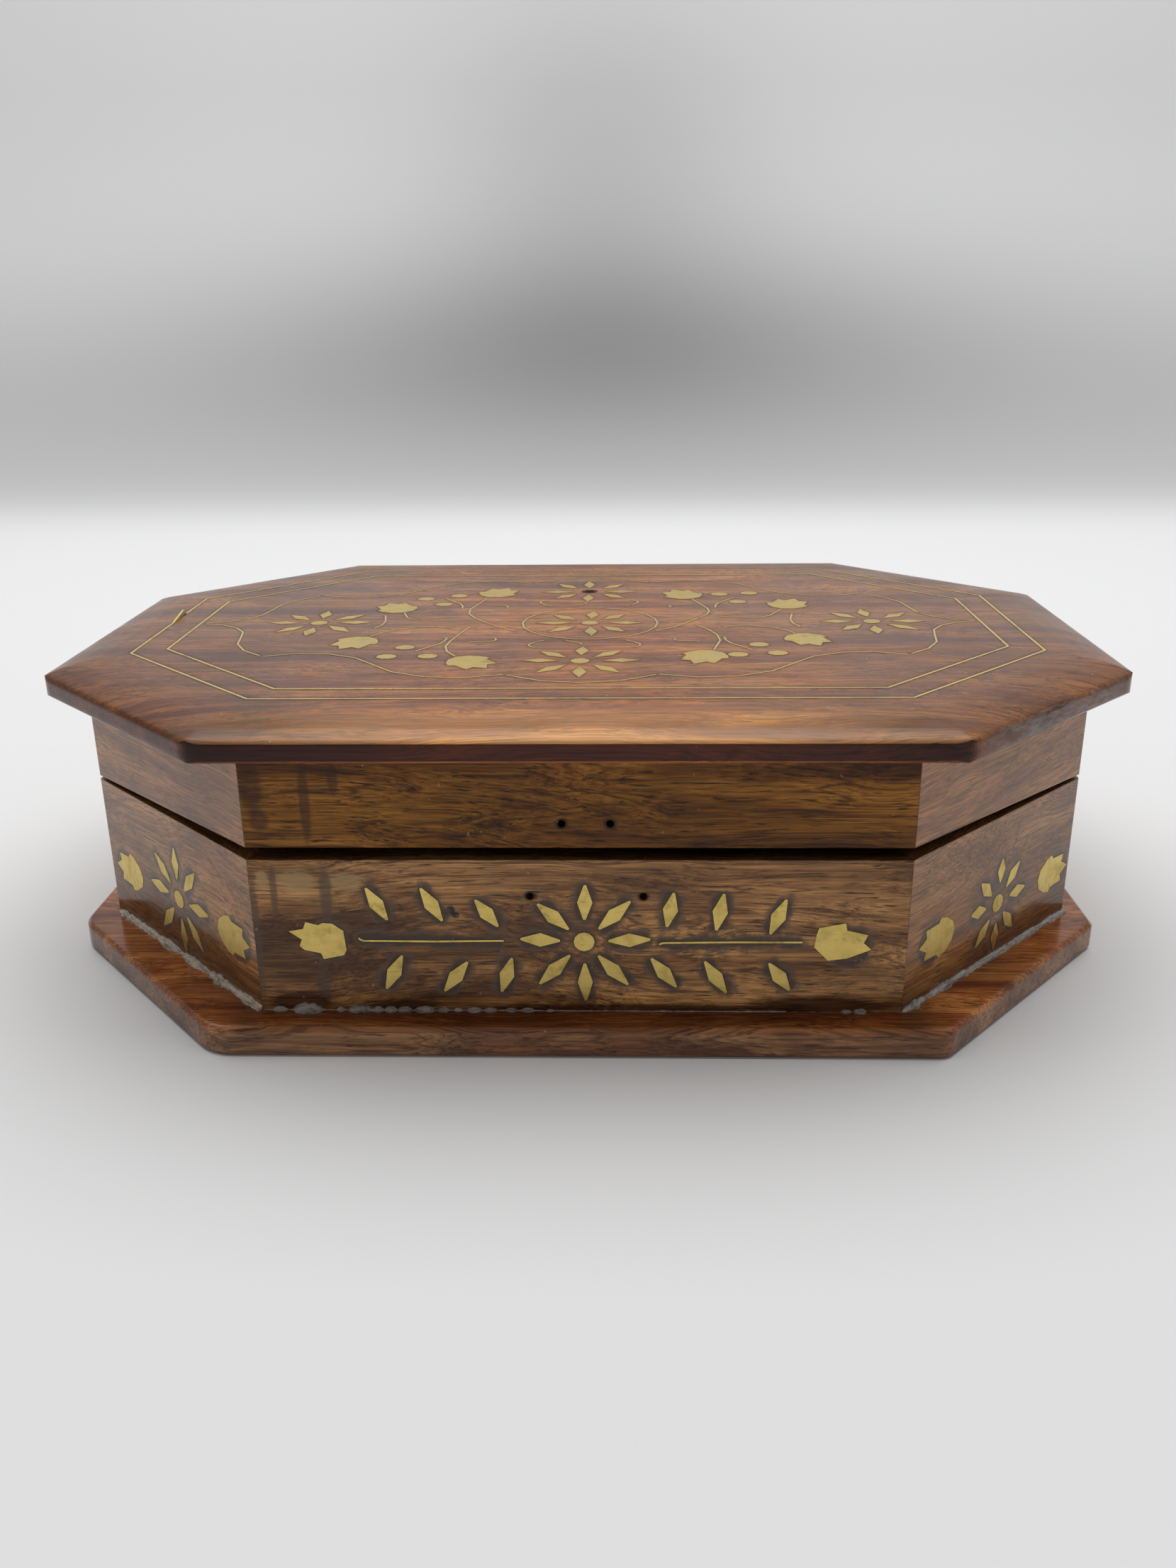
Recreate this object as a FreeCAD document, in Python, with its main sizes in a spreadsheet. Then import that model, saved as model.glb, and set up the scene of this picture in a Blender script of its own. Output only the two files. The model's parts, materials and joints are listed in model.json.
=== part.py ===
import FreeCAD, Part
import math
import os
import Sketcher
from FreeCAD import Placement, Rotation, Vector

# Octagonal wooden box with a hinged lid and brass inlay. Millimetres, +Z up.
# The origin is the middle of the base plate's underside, and the front faces -Y.

SIZES = {
    # Wall ring, measured outside
    "wall_length": 240.0,
    "wall_width": 168.0,
    "wall_cut": 50.0,
    "wall_thick": 9.0,
    "lower_height": 36.0,
    "rim_height": 23.5,
    # Air between the lower walls and the rim at the hinges
    "seam_gap": 0.3,
    # The rim's lower edge is planed away towards the front
    "relief_rise": 2.5,
    "relief_start": 18.0,
    # Base plate, glued on a little off to the left
    "base_overhang_x": 6.5,
    "base_overhang_y": 8.0,
    "base_shift": -0.5,
    "base_cut_x": 47.0,
    "base_cut_y": 52.0,
    "base_thick": 7.0,
    "base_left_radius": 11.0,
    "base_right_radius": 4.0,
    "base_edge_chamfer": 0.9,
    # Lid board: a flat edge, then a crown that rolls up to a flat field
    "lid_overhang": 7.0,
    "lid_cut": 49.0,
    "lid_edge": 4.8,
    "lid_corner_radius": 8.0,
    "lid_shoulder_chamfer": 0.6,
    "lid_arris_chamfer": 0.6,
    "crown_rise": 2.4,
    "field_margin": 1.6,
    # Floor lining
    "lining_thick": 1.2,
    "lining_clearance": 0.3,
    # Brass inlay
    "inlay_depth": 0.8,
    "inlay_proud": 0.05,
    "wire_width": 0.55,
    "stem_width": 0.42,
    "border_gap_x": 17.5,
    "border_gap_y": 21.5,
    "border_cut": 38.8,
    "border_step": 7.6,
    "inner_border_cut": 35.2,
    "petal_inner": 4.8,
    "petal_outer": 13.8,
    "petal_width": 3.3,
    "tip_width": 0.5,
    "disc_radius": 2.25,
    "lid_tulip_length": 13.2,
    "lid_tulip_width": 11.4,
    "side_tulip_length": 14.2,
    "side_tulip_width": 9.8,
    "side_tulip_start": 18.2,
    "front_tulip_length": 12.2,
    "front_tulip_width": 8.9,
    "leaf_width": 3.3,
    "berry_length": 4.9,
    "berry_width": 4.3,
    "ring_radius": 17.6,
    # Play of the hand that cut the petals
    "hand_turn": 3.0,
    "hand_shift": 0.5,
    # A broken end of the outer border wire that has sprung out of its groove
    "loose_start": 0.5,
    "loose_run": 9.5,
    "loose_lift": 1.5,
    "loose_break": 2.0,
    # Height of the ornament's middle above the base plate
    "front_motif_height": 17.2,
    "side_motif_height": 14.6,
    # Nail holes of a lost clasp
    "clasp_middle": 1.75,
    "clasp_hole_radius": 0.8,
    "clasp_hole_depth": 6.0,
    "clasp_rim_spacing": 10.1,
    "clasp_rim_height": 7.9,
    "clasp_box_spacing": 24.1,
    "clasp_box_height": 27.6,
    # Butt hinges
    "hinge_spacing": 84.0,
    "leaf_length": 25.0,
    "leaf_depth": 7.0,
    "leaf_thick": 0.9,
    "barrel_radius": 1.9,
    "hinge_clearance": 0.3,
    "pin_radius": 0.9,
    "pin_clearance": 0.1,
}

doc = FreeCAD.newDocument("inlaid_box")
sheet = doc.addObject("Spreadsheet::Sheet", "sizes")
for row, (alias, number) in enumerate(SIZES.items(), start=1):
    sheet.set("A%d" % row, alias)
    sheet.set("B%d" % row, str(number))
    sheet.setAlias("B%d" % row, alias)
doc.recompute()

# Levels and places that several pieces share, as expressions on the sheet
WALL_TOP = "(sizes.base_thick + sizes.lower_height)"
RIM_BOTTOM = "(%s + sizes.seam_gap)" % WALL_TOP
LID_BOTTOM = "(%s + sizes.rim_height)" % RIM_BOTTOM
EDGE_TOP = "(%s + sizes.lid_edge)" % LID_BOTTOM
LID_TOP = "(%s + sizes.crown_rise)" % EDGE_TOP
BASE_X = "(sizes.wall_length / 2 + sizes.base_overhang_x)"
BASE_Y = "(sizes.wall_width / 2 + sizes.base_overhang_y)"
LID_X = "(sizes.wall_length / 2 + sizes.lid_overhang)"
LID_Y = "(sizes.wall_width / 2 + sizes.lid_overhang)"
BORDER_X = "(%s - sizes.border_gap_x)" % LID_X
BORDER_Y = "(%s - sizes.border_gap_y)" % LID_Y
HINGE_Y = "(sizes.wall_width / 2 + sizes.barrel_radius + sizes.hinge_clearance)"
HINGE_Z = "(%s + sizes.seam_gap / 2)" % WALL_TOP
FRONT_FLAT = "(sizes.wall_length - 2 * sizes.wall_cut)"
END_FLAT = "(sizes.wall_width - 2 * sizes.wall_cut)"
DIAGONAL = "(sizes.wall_cut * sqrt(2))"
DIAGONAL_X = "((sizes.wall_length - sizes.wall_cut) / 2)"
DIAGONAL_Y = "((sizes.wall_width - sizes.wall_cut) / 2)"

# The eight boards of a ring, turning an eighth from each to the next: length, and the middle of
# the outer face
PANELS = {
    "front": (FRONT_FLAT, "0", "-sizes.wall_width / 2"),
    "front_right": (DIAGONAL, DIAGONAL_X, "-" + DIAGONAL_Y),
    "right": (END_FLAT, "sizes.wall_length / 2", "0"),
    "back_right": (DIAGONAL, DIAGONAL_X, DIAGONAL_Y),
    "back": (FRONT_FLAT, "0", "sizes.wall_width / 2"),
    "back_left": (DIAGONAL, "-" + DIAGONAL_X, DIAGONAL_Y),
    "left": (END_FLAT, "-sizes.wall_length / 2", "0"),
    "front_left": (DIAGONAL, "-" + DIAGONAL_X, "-" + DIAGONAL_Y),
}
TURN_DEGREES = {panel: 45.0 * index for index, panel in enumerate(PANELS)}
RELIEVED = ("front", "front_right", "front_left", "right", "left")
MITRE_DEGREES = 22.5

PLAIN = ("back_right", "back", "back_left")

# Hand-cut brass has flats, not true curves: sides of each round outline, and the turn from one
# bend of a wire to the next
DISC_SIDES = 12
BERRY_SIDES = 10
RING_SIDES = 22
TULIP_BASE_SIDES = 4
BEND_DEGREES = 26.0
FLOWER_PETALS = 8
# Steps that scatter the petals' turn, inner end and outer end about their true places
TURN_SCATTER, INNER_SCATTER, OUTER_SCATTER = 2.4, 3.1, 5.3
# Sections of the lid's crown: share of the way in from the shoulder to the field. The crown rolls
# over faster towards the shoulder as the power grows.
CROWN_SHARES = (0.0, 0.08, 0.22, 0.42, 0.68, 1.0)
CROWN_POWER = 2.6

# The ornament was laid out for these sizes, and its places stretch with the boards
DRAWN_FRONT = 140.0
DRAWN_SIDE = 70.0
DRAWN_WALL = 36.0
DRAWN_BORDER_X = 109.5
DRAWN_BORDER_Y = 69.5

# Outlines of tulips in shares of length, from the base to the tips, and of width, to the left.
# One side of an even tulip, from its round base to its middle tip
EVEN_TULIP_SIDE = ((0.26, 0.44), (0.42, 0.50), (0.48, 0.39), (0.83, 0.37), (0.79, 0.17))
# The two tulips of the front board, which were cut unevenly
LEFT_FRONT_TULIP = (
    (0.00, 0.26), (0.05, 0.39), (0.42, 0.50), (0.46, 0.34), (0.75, 0.25), (0.83, 0.14), (0.78, -0.03),
    (1.00, -0.25), (0.74, -0.32), (0.69, -0.50), (0.47, -0.42), (0.39, -0.48), (0.22, -0.46),
    (0.03, -0.27),
)
RIGHT_FRONT_TULIP = (
    (0.00, -0.14), (0.25, -0.50), (0.58, -0.44), (1.00, -0.20), (0.86, -0.02), (0.93, 0.19),
    (0.56, 0.31), (0.53, 0.50), (0.07, 0.37), (0.03, 0.19),
)

# Leaves of the front board from tip to tip: along the board and up from the ornament's middle
FRONT_LEAVES = (
    ((-45.2, 12.3), (-41.0, 4.8)),
    ((-33.5, 12.3), (-29.2, 4.6)),
    ((-22.0, 9.6), (-17.3, 3.3)),
    ((20.2, 11.3), (18.8, 3.3)),
    ((30.8, 11.1), (29.3, 2.5)),
    ((44.0, 9.8), (40.8, 1.6)),
    ((-38.3, -3.7), (-42.2, -11.9)),
    ((-24.2, -5.2), (-29.5, -12.4)),
    ((-14.5, -4.2), (-17.0, -12.5)),
    ((15.5, -4.2), (21.0, -11.2)),
    ((27.0, -4.9), (31.8, -12.5)),
    ((40.8, -5.3), (45.5, -11.9)),
)
FRONT_FLOWER = (1.1, -0.3)
FRONT_TULIP_X = 50.3
FRONT_TULIP_Y = -0.2
# Wires of the layout: start, heading, then the points of a chain of tangent arcs
FRONT_STEMS = (
    ((-47.5, 0.5), (0.57, -0.82), ((-46.2, -0.2), (-31.0, -0.3), (-16.2, -0.1))),
    ((17.2, -0.9), (0.77, 0.64), ((18.4, -0.5), (33.0, -0.3), (47.8, -0.3))),
)
# Ornament that sits off the middle of its board, along it and up, and petals that were cut short
SHIFTED_FLOWERS = {"front_right": (2.0, -0.9), "front_left": (0.3, 0.4)}
SHIFTED_TULIPS = {"front_right": (2.0, -1.2), "front_left": (0.1, -0.4)}
SHORT_PETALS = {"front_right": 2.2}

# Flowers of the lid
LID_FLOWERS = ((0.8, -0.8), (-0.6, -39.0), (-70.5, 0.2), (74.0, -0.2), (-0.2, 38.2))
# The last flower has lost its centre disc
LID_DISCS = LID_FLOWERS[:-1]
LOST_DISC = LID_FLOWERS[-1]
# Tulips of the lid: base and heading of the tips
INNER_TULIPS = (
    ((-30.0, -35.0), (0.62, -0.79)),
    ((31.0, -29.8), (-0.39, -0.92)),
    ((-28.5, 31.0), (0.34, 0.94)),
    ((28.5, 27.8), (-0.37, 0.93)),
)
OUTER_TULIPS = (
    ((-54.5, -15.2), (-0.39, -0.92)),
    ((52.8, -13.2), (0.34, -0.94)),
    ((-50.0, 12.0), (-0.45, 0.89)),
    ((52.5, 15.0), (0.37, 0.93)),
)
LID_BERRIES = (
    (-43.7, -26.0), (-46.8, -34.7), (-37.0, -34.3),
    (42.5, -24.2), (36.7, -33.7), (46.2, -32.3),
    (36.8, 33.7), (45.3, 35.0), (41.2, 23.8),
    (-46.3, 29.0), (-37.3, 33.0), (-40.3, 22.0),
)
# Cartouche wires of one quarter, and the lobe between two quarters
CARTOUCHE_QUARTER = (
    ((100.4, -0.5), (-1.0, -0.07), ((87.0, -15.0), (77.5, -33.4))),
    ((76.5, -34.0), (-0.87, 0.5), ((49.0, -41.5), (17.6, -50.8))),
)
CARTOUCHE_LOBE = ((16.8, -51.2), (-0.75, -0.66), ((-16.8, -51.2),))
# Stems from the inner tulips towards the ring, after the tulip's base
LONG_STEM = ((32.3, 16.0), (29.8, 5.0), (25.5, -1.5), (17.8, -9.8))
SHORT_STEM = ((33.4, 20.0), (31.2, 8.5), (28.4, 3.6))
OUTER_STEM = ((48.5, 7.2), (42.5, 4.4), (35.0, 6.0))
# Small scrolls of one quarter, and of one half
SCROLL_QUARTER = (
    ((40.6, 29.4), (-0.71, -0.71), ((35.8, 22.6), (34.6, 16.6))),
    ((28.4, 20.6), (-1.0, -0.09), ((23.8, 20.2), (22.6, 17.2))),
    ((10.2, 19.4), (0.87, 0.5), ((13.4, 22.8), (11.8, 26.4))),
)
SIDE_WAVE = ((54.4, 8.6), (-0.26, -0.97), ((53.2, 2.0), (54.8, -6.0)))
FLOWER_STALK = ((-4.8, 19.4), (0.82, 0.57), ((-1.8, 21.4), (-0.6, 23.4)))
STEM_GAP = 0.7

nodes = []


def value(expression):
    """The present value of an expression on the sheet."""
    return float(sheet.evalExpression(expression))


def size(alias):
    return value("sizes." + alias)


def keep(piece, label):
    """Name a finished piece and put it on the list of pieces to write."""
    piece.Label = label
    nodes.append(piece)
    return piece


def bind(piece, **expressions):
    for name, expression in expressions.items():
        piece.setExpression(name, expression)
    return piece


def stand(piece, x, y, z, turn=0.0):
    """Place a piece at three expressions, turned about Z."""
    piece.Placement = Placement(Vector(0, 0, 0), Rotation(Vector(0, 0, 1), turn))
    for axis, expression in zip("xyz", (x, y, z)):
        piece.setExpression("Placement.Base." + axis, expression)
    return piece


def plan_sketch(body, label):
    """A sketch on the body's own XY plane."""
    sketch = body.newObject("Sketcher::SketchObject", label)
    plane = [item for item in body.Origin.OriginFeatures if item.Role == "XY_Plane"][0]
    sketch.AttachmentSupport = (plane, "")
    sketch.MapMode = "FlatFace"
    return sketch


def constrain(sketch, label, kind, references, expression):
    """Add a named distance and bind it to the sheet."""
    index = sketch.addConstraint(Sketcher.Constraint(kind, *references, value(expression)))
    sketch.renameConstraint(index, label)
    sketch.setExpression("Constraints." + label, expression)


def close_lines(sketch, points):
    """Draw a closed run of lines and tie its corners."""
    count = len(points)
    for index in range(count):
        start = Vector(*points[index], 0)
        end = Vector(*points[(index + 1) % count], 0)
        sketch.addGeometry(Part.LineSegment(start, end), False)
    for index in range(count):
        sketch.addConstraint(Sketcher.Constraint("Coincident", index, 2, (index + 1) % count, 1))


def octagon_sketch(body, label, half_x, half_y, cut_x, cut_y):
    """An octagon about the origin: half length, half width and the two legs of a corner cut."""
    x, y, leg_x, leg_y = (value(item) for item in (half_x, half_y, cut_x, cut_y))
    sketch = plan_sketch(body, label)
    near = ((leg_x - x, -y), (x - leg_x, -y), (x, leg_y - y), (x, y - leg_y))
    far = tuple((-point_x, -point_y) for point_x, point_y in near)
    close_lines(sketch, near + far)
    # Points 0 to 7 run round from the front edge's left end; line n starts at point n
    for left, right in ((0, 1), (7, 2), (6, 3), (5, 4)):
        sketch.addConstraint(Sketcher.Constraint("Symmetric", left, 1, right, 1, -2))
    for front, back in ((1, 4), (2, 3)):
        sketch.addConstraint(Sketcher.Constraint("Symmetric", front, 1, back, 1, -1))
    constrain(sketch, "half_x", "DistanceX", (-1, 1, 3, 1), half_x)
    constrain(sketch, "half_y", "DistanceY", (-1, 1, 4, 1), half_y)
    constrain(sketch, "cut_x", "DistanceX", (4, 1, 3, 1), cut_x)
    constrain(sketch, "cut_y", "DistanceY", (3, 1, 4, 1), cut_y)
    return sketch


def pad(body, sketch, label, length):
    feature = body.newObject("PartDesign::Pad", label)
    feature.Profile = sketch
    bind(feature, Length=length)
    doc.recompute()
    return feature


def edges_where(base, test):
    """The edges of a feature whose two ends pass a test."""
    names = []
    for index, edge in enumerate(base.Shape.Edges, start=1):
        if test(edge.Vertexes[0].Point, edge.Vertexes[-1].Point):
            names.append("Edge%d" % index)
    return (base, names)


def round_edges(body, base, label, radius, test):
    feature = body.newObject("PartDesign::Fillet", label)
    feature.Base = edges_where(base, test)
    bind(feature, Radius=radius)
    doc.recompute()
    return feature


def ease_edges(body, base, label, leg, test):
    """Take the sharpness off edges with a small chamfer."""
    feature = body.newObject("PartDesign::Chamfer", label)
    feature.Base = edges_where(base, test)
    bind(feature, Size=leg)
    doc.recompute()
    return feature


def is_upright(first, last):
    return abs(first.x - last.x) + abs(first.y - last.y) < 1e-6


def at_level(level):
    return lambda first, last: abs(first.z - level) + abs(last.z - level) < 1e-6


def base_plate():
    body = doc.addObject("PartDesign::Body", "base_body")
    outline = octagon_sketch(body, "base_outline", BASE_X, BASE_Y,
                             "sizes.base_cut_x", "sizes.base_cut_y")
    slab = pad(body, outline, "base_slab", "sizes.base_thick")
    left = round_edges(body, slab, "base_left_corners", "sizes.base_left_radius",
                       lambda first, last: is_upright(first, last) and first.x < 0)
    right = round_edges(body, left, "base_right_corners", "sizes.base_right_radius",
                        lambda first, last: is_upright(first, last) and first.x > size("base_cut_x"))
    top = ease_edges(body, right, "base_top_edge", "sizes.base_edge_chamfer",
                     at_level(size("base_thick")))
    ease_edges(body, top, "base_bottom_edge", "sizes.base_edge_chamfer", at_level(0.0))
    stand(body, "sizes.base_shift", "0", "0")
    return keep(body, "base_plate")


def wall_board(label, length, height):
    """A mitred board: the outer face on local Y = 0, the inside towards +Y."""
    body = doc.addObject("PartDesign::Body", label + "_body")
    sketch = plan_sketch(body, label + "_plan")
    inner = "%s - 2 * sizes.wall_thick * tan(%s deg)" % (length, MITRE_DEGREES)
    half, half_inner, thick = value(length) / 2, value(inner) / 2, size("wall_thick")
    close_lines(sketch, ((-half, 0), (half, 0), (half_inner, thick), (-half_inner, thick)))
    sketch.addConstraint(Sketcher.Constraint("PointOnObject", 0, 1, -1))
    for left, right in ((0, 1), (3, 2)):
        sketch.addConstraint(Sketcher.Constraint("Symmetric", left, 1, right, 1, -2))
    constrain(sketch, "outer", "DistanceX", (0, 1, 1, 1), length)
    constrain(sketch, "inner", "DistanceX", (3, 1, 2, 1), inner)
    constrain(sketch, "thick", "DistanceY", (-1, 1, 2, 1), "sizes.wall_thick")
    pad(body, sketch, label + "_pad", height)
    body.Label = label + "_board"
    return body


def cut(base, tools, label):
    """Take the tools out of a piece; what seats there is itself one of the tools."""
    bundle = doc.addObject("Part::Compound", label + "_tools")
    bundle.Links = tools
    result = doc.addObject("Part::Cut", label + "_cut")
    result.Base = base
    result.Tool = bundle
    doc.recompute()
    return result


def relief_wedge():
    """The wedge planed off the rim's lower edge from near the middle to the front."""
    front, start = size("wall_width") / 2, size("relief_start")
    level = value(RIM_BOTTOM)
    slope = size("relief_rise") / (front - start)
    reach = size("wall_width")
    sketch = doc.addObject("Sketcher::SketchObject", "relief_profile")
    corners = ((-start, level), (-reach, level), (-reach, level + slope * (reach - start)))
    close_lines(sketch, corners)
    sketch.Placement = Placement(Vector(0, 0, 0), Rotation(Vector(1, 1, 1), 120))
    wedge = doc.addObject("Part::Extrusion", "relief_wedge")
    wedge.Base = sketch
    wedge.DirMode = "Normal"
    wedge.Solid = True
    wedge.Symmetric = True
    bind(wedge, LengthFwd="2 * sizes.wall_length")
    doc.recompute()
    return wedge


# Outlines of inlay, drawn in sketches that lie on a finished surface


def outline_sketch(label, placement):
    sketch = doc.addObject("Sketcher::SketchObject", label + "_outline")
    sketch.Placement = placement
    return sketch


def draw_lines(sketch, points):
    for start, end in zip(points, points[1:]):
        sketch.addGeometry(Part.LineSegment(start, end), False)


def draw_lozenge(sketch, tip, far_tip, width, tip_width=0.0):
    """A petal or leaf: a long lozenge between two tips, sharp or filed blunt."""
    along = far_tip - tip
    across = Vector(-along.y, along.x, 0).normalize()
    belly, blunt = across * (width / 2), across * (tip_width / 2)
    middle = (tip + far_tip) * 0.5
    near_tip = [tip + blunt, tip - blunt] if tip_width else [tip]
    other_tip = [far_tip - blunt, far_tip + blunt] if tip_width else [far_tip]
    draw_lines(sketch, near_tip + [middle - belly] + other_tip + [middle + belly] + near_tip[:1])


def draw_petals(sketch, centre, seed, tip_width=0.0, short=0.0):
    """Eight petals about a centre, each a little off its true place as the hand cut it."""
    turn, shift = size("hand_turn"), size("hand_shift")
    for index in range(FLOWER_PETALS):
        angle = 360.0 / FLOWER_PETALS * index + turn * math.sin(seed + TURN_SCATTER * index)
        ray = Vector(math.cos(math.radians(angle)), math.sin(math.radians(angle)), 0)
        inner = size("petal_inner") + shift * math.sin(seed + INNER_SCATTER * index)
        outer = size("petal_outer") - short + shift * math.sin(seed + OUTER_SCATTER * index)
        draw_lozenge(sketch, centre + ray * inner, centre + ray * outer, size("petal_width"),
                     tip_width)


def turned(ray, degrees):
    return Rotation(Vector(0, 0, 1), degrees).multVec(ray)


def draw_disc(sketch, centre, half_x, half_y, sides):
    """A disc or ring outline filed to a number of flats, round or a little oval."""
    rays = [turned(Vector(1, 0, 0), 360.0 * index / sides) for index in range(sides)]
    points = [centre + Vector(ray.x * half_x, ray.y * half_y, 0) for ray in rays]
    draw_lines(sketch, points + points[:1])


def even_tulip():
    """Outline of a tulip alike on both sides: a round base, two ears and three tips."""
    left = [Vector(along, across, 0) for along, across in EVEN_TULIP_SIDE]
    right = [Vector(along, -across, 0) for along, across in EVEN_TULIP_SIDE]
    bowl = Part.Arc(right[0], Vector(0, 0, 0), left[0]).discretize(TULIP_BASE_SIDES + 1)
    return [(point.x, point.y) for point in left + [Vector(1, 0, 0)] + right[:0:-1] + bowl[:-1]]


def draw_tulip(sketch, outline, base, heading, length, width):
    """A tulip of an outline given in shares, from its base with its tips along the heading."""
    along = heading.normalize()
    across = Vector(-along.y, along.x, 0)
    points = [base + along * (u * length) + across * (v * width) for u, v in outline]
    draw_lines(sketch, points + points[:1])


def wire_stations(start, heading, points):
    """Points and left normals at the bends of a wire that follows a chain of tangent arcs."""
    tangent = heading.normalize()
    here = start
    stations = [(here, Vector(-tangent.y, tangent.x, 0))]
    for there in points:
        chord = there - here
        normal = stations[-1][1]
        turn = 2 * math.degrees(math.atan2(chord.dot(normal), chord.dot(tangent)))
        centre = here + normal * (chord.dot(chord) / (2 * chord.dot(normal)))
        bends = math.ceil(abs(turn) / BEND_DEGREES)
        for bend in range(1, bends + 1):
            part_turn = turn * bend / bends
            stations.append((centre + turned(here - centre, part_turn), turned(normal, part_turn)))
        tangent = turned(tangent, turn)
        here = there
    return stations


def draw_wire(sketch, start, heading, points, width):
    """A wire of even width bent along a chain of tangent arcs, with square ends."""
    stations = wire_stations(start, heading, points)
    left = [point + normal * (width / 2) for point, normal in stations]
    right = [point - normal * (width / 2) for point, normal in stations]
    draw_lines(sketch, left + right[::-1] + left[:1])


def inlay(sketch, label):
    """Brass let into a surface along the sketch's outlines, a hair proud of it."""
    piece = doc.addObject("Part::Extrusion", label + "_brass")
    piece.Base = sketch
    piece.DirMode = "Normal"
    piece.Solid = True
    bind(piece, LengthFwd="sizes.inlay_proud", LengthRev="sizes.inlay_depth")
    doc.recompute()
    return piece


def face_placement(panel):
    """A frame on a lower board's outer face: X along the board, Y up, origin at its foot."""
    _, x, y = PANELS[panel]
    foot = Vector(value(x), value(y), size("base_thick"))
    board = Placement(foot, Rotation(Vector(0, 0, 1), TURN_DEGREES[panel]))
    return board.multiply(Placement(Vector(0, 0, 0), Rotation(Vector(1, 0, 0), 90)))


def front_inlay():
    """Flower, leaves, tulips and stem wires of the front board."""
    stretch = value(FRONT_FLAT) / DRAWN_FRONT
    lift = size("lower_height") / DRAWN_WALL
    foot = size("front_motif_height")
    frame = face_placement("front")

    def spot(point):
        return Vector(point[0] * stretch, foot + point[1] * lift, 0)

    flower = outline_sketch("front_flower", frame)
    centre = spot(FRONT_FLOWER)
    draw_petals(flower, centre, 1.0, size("tip_width"))
    draw_disc(flower, centre, size("disc_radius"), size("disc_radius"), DISC_SIDES)
    leaves = outline_sketch("front_leaves", frame)
    for tip, far_tip in FRONT_LEAVES:
        draw_lozenge(leaves, spot(tip), spot(far_tip), size("leaf_width"), size("tip_width"))
    tulips = outline_sketch("front_tulips", frame)
    for side, outline in ((-1, LEFT_FRONT_TULIP), (1, RIGHT_FRONT_TULIP)):
        draw_tulip(tulips, outline, spot((side * FRONT_TULIP_X, FRONT_TULIP_Y)), Vector(side, 0, 0),
                   size("front_tulip_length"), size("front_tulip_width"))
    stems = outline_sketch("front_stems", frame)
    for start, heading, points in FRONT_STEMS:
        draw_wire(stems, spot(start), Vector(*heading, 0), [spot(point) for point in points],
                  size("stem_width"))
    drawn = {"front_flower": flower, "front_leaves": leaves, "front_tulips": tulips,
             "front_stems": stems}
    return [keep(inlay(sketch, label), label) for label, sketch in drawn.items()]


def side_inlay(panel, seed):
    """A flower between two tulips, the ornament of a short board."""
    stretch = value(PANELS[panel][0]) / DRAWN_SIDE
    frame = face_placement(panel)
    middle = Vector(0, size("side_motif_height"), 0)
    centre = middle + Vector(*SHIFTED_FLOWERS.get(panel, (0, 0)), 0)
    flower = outline_sketch(panel + "_flower", frame)
    draw_petals(flower, centre, seed, size("tip_width"), SHORT_PETALS.get(panel, 0.0))
    draw_disc(flower, centre, size("disc_radius"), size("disc_radius"), DISC_SIDES)
    tulips = outline_sketch(panel + "_tulips", frame)
    for side in (-1, 1):
        base = middle + Vector(*SHIFTED_TULIPS.get(panel, (0, 0)), 0)
        base.x += side * size("side_tulip_start") * stretch
        draw_tulip(tulips, even_tulip(), base, Vector(side, 0, 0), size("side_tulip_length"),
                   size("side_tulip_width"))
    drawn = {panel + "_flower": flower, panel + "_tulips": tulips}
    return [keep(inlay(sketch, label), label) for label, sketch in drawn.items()]


def clasp_holes(label, spacing, height):
    """Two blind nail holes side by side in the front."""
    holes = []
    for side, name in ((-1, "left"), (1, "right")):
        hole = doc.addObject("Part::Cylinder", "%s_%s" % (label, name))
        bind(hole, Radius="sizes.clasp_hole_radius", Height="2 * sizes.clasp_hole_depth")
        hole.Placement = Placement(Vector(0, 0, 0), Rotation(Vector(1, 0, 0), 90))
        hole.setExpression("Placement.Base.x", "sizes.clasp_middle + %d * %s / 2" % (side, spacing))
        hole.setExpression("Placement.Base.y", "sizes.clasp_hole_depth - sizes.wall_width / 2")
        hole.setExpression("Placement.Base.z", height)
        holes.append(hole)
    return holes


def slab(label, length, depth, height, x, y, z):
    """A plain block with its low corner at three expressions."""
    block = doc.addObject("Part::Box", label)
    bind(block, Length=length, Width=depth, Height=height)
    return stand(block, x, y, z)


def rod(label, radius, length, x, y, z):
    """A round bar along X from three expressions."""
    bar = doc.addObject("Part::Cylinder", label)
    bind(bar, Radius=radius, Height=length)
    bar.Placement = Placement(Vector(0, 0, 0), Rotation(Vector(0, 1, 0), 90))
    for axis, expression in zip("xyz", (x, y, z)):
        bar.setExpression("Placement.Base." + axis, expression)
    return bar


def hinge_rod(label, radius, middle, start, length):
    """A round bar on the hinge axis, from a distance past the hinge's left end."""
    x = "%s - sizes.leaf_length / 2 + %s" % (middle, start)
    return rod(label, radius, length, x, HINGE_Y, HINGE_Z)


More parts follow.
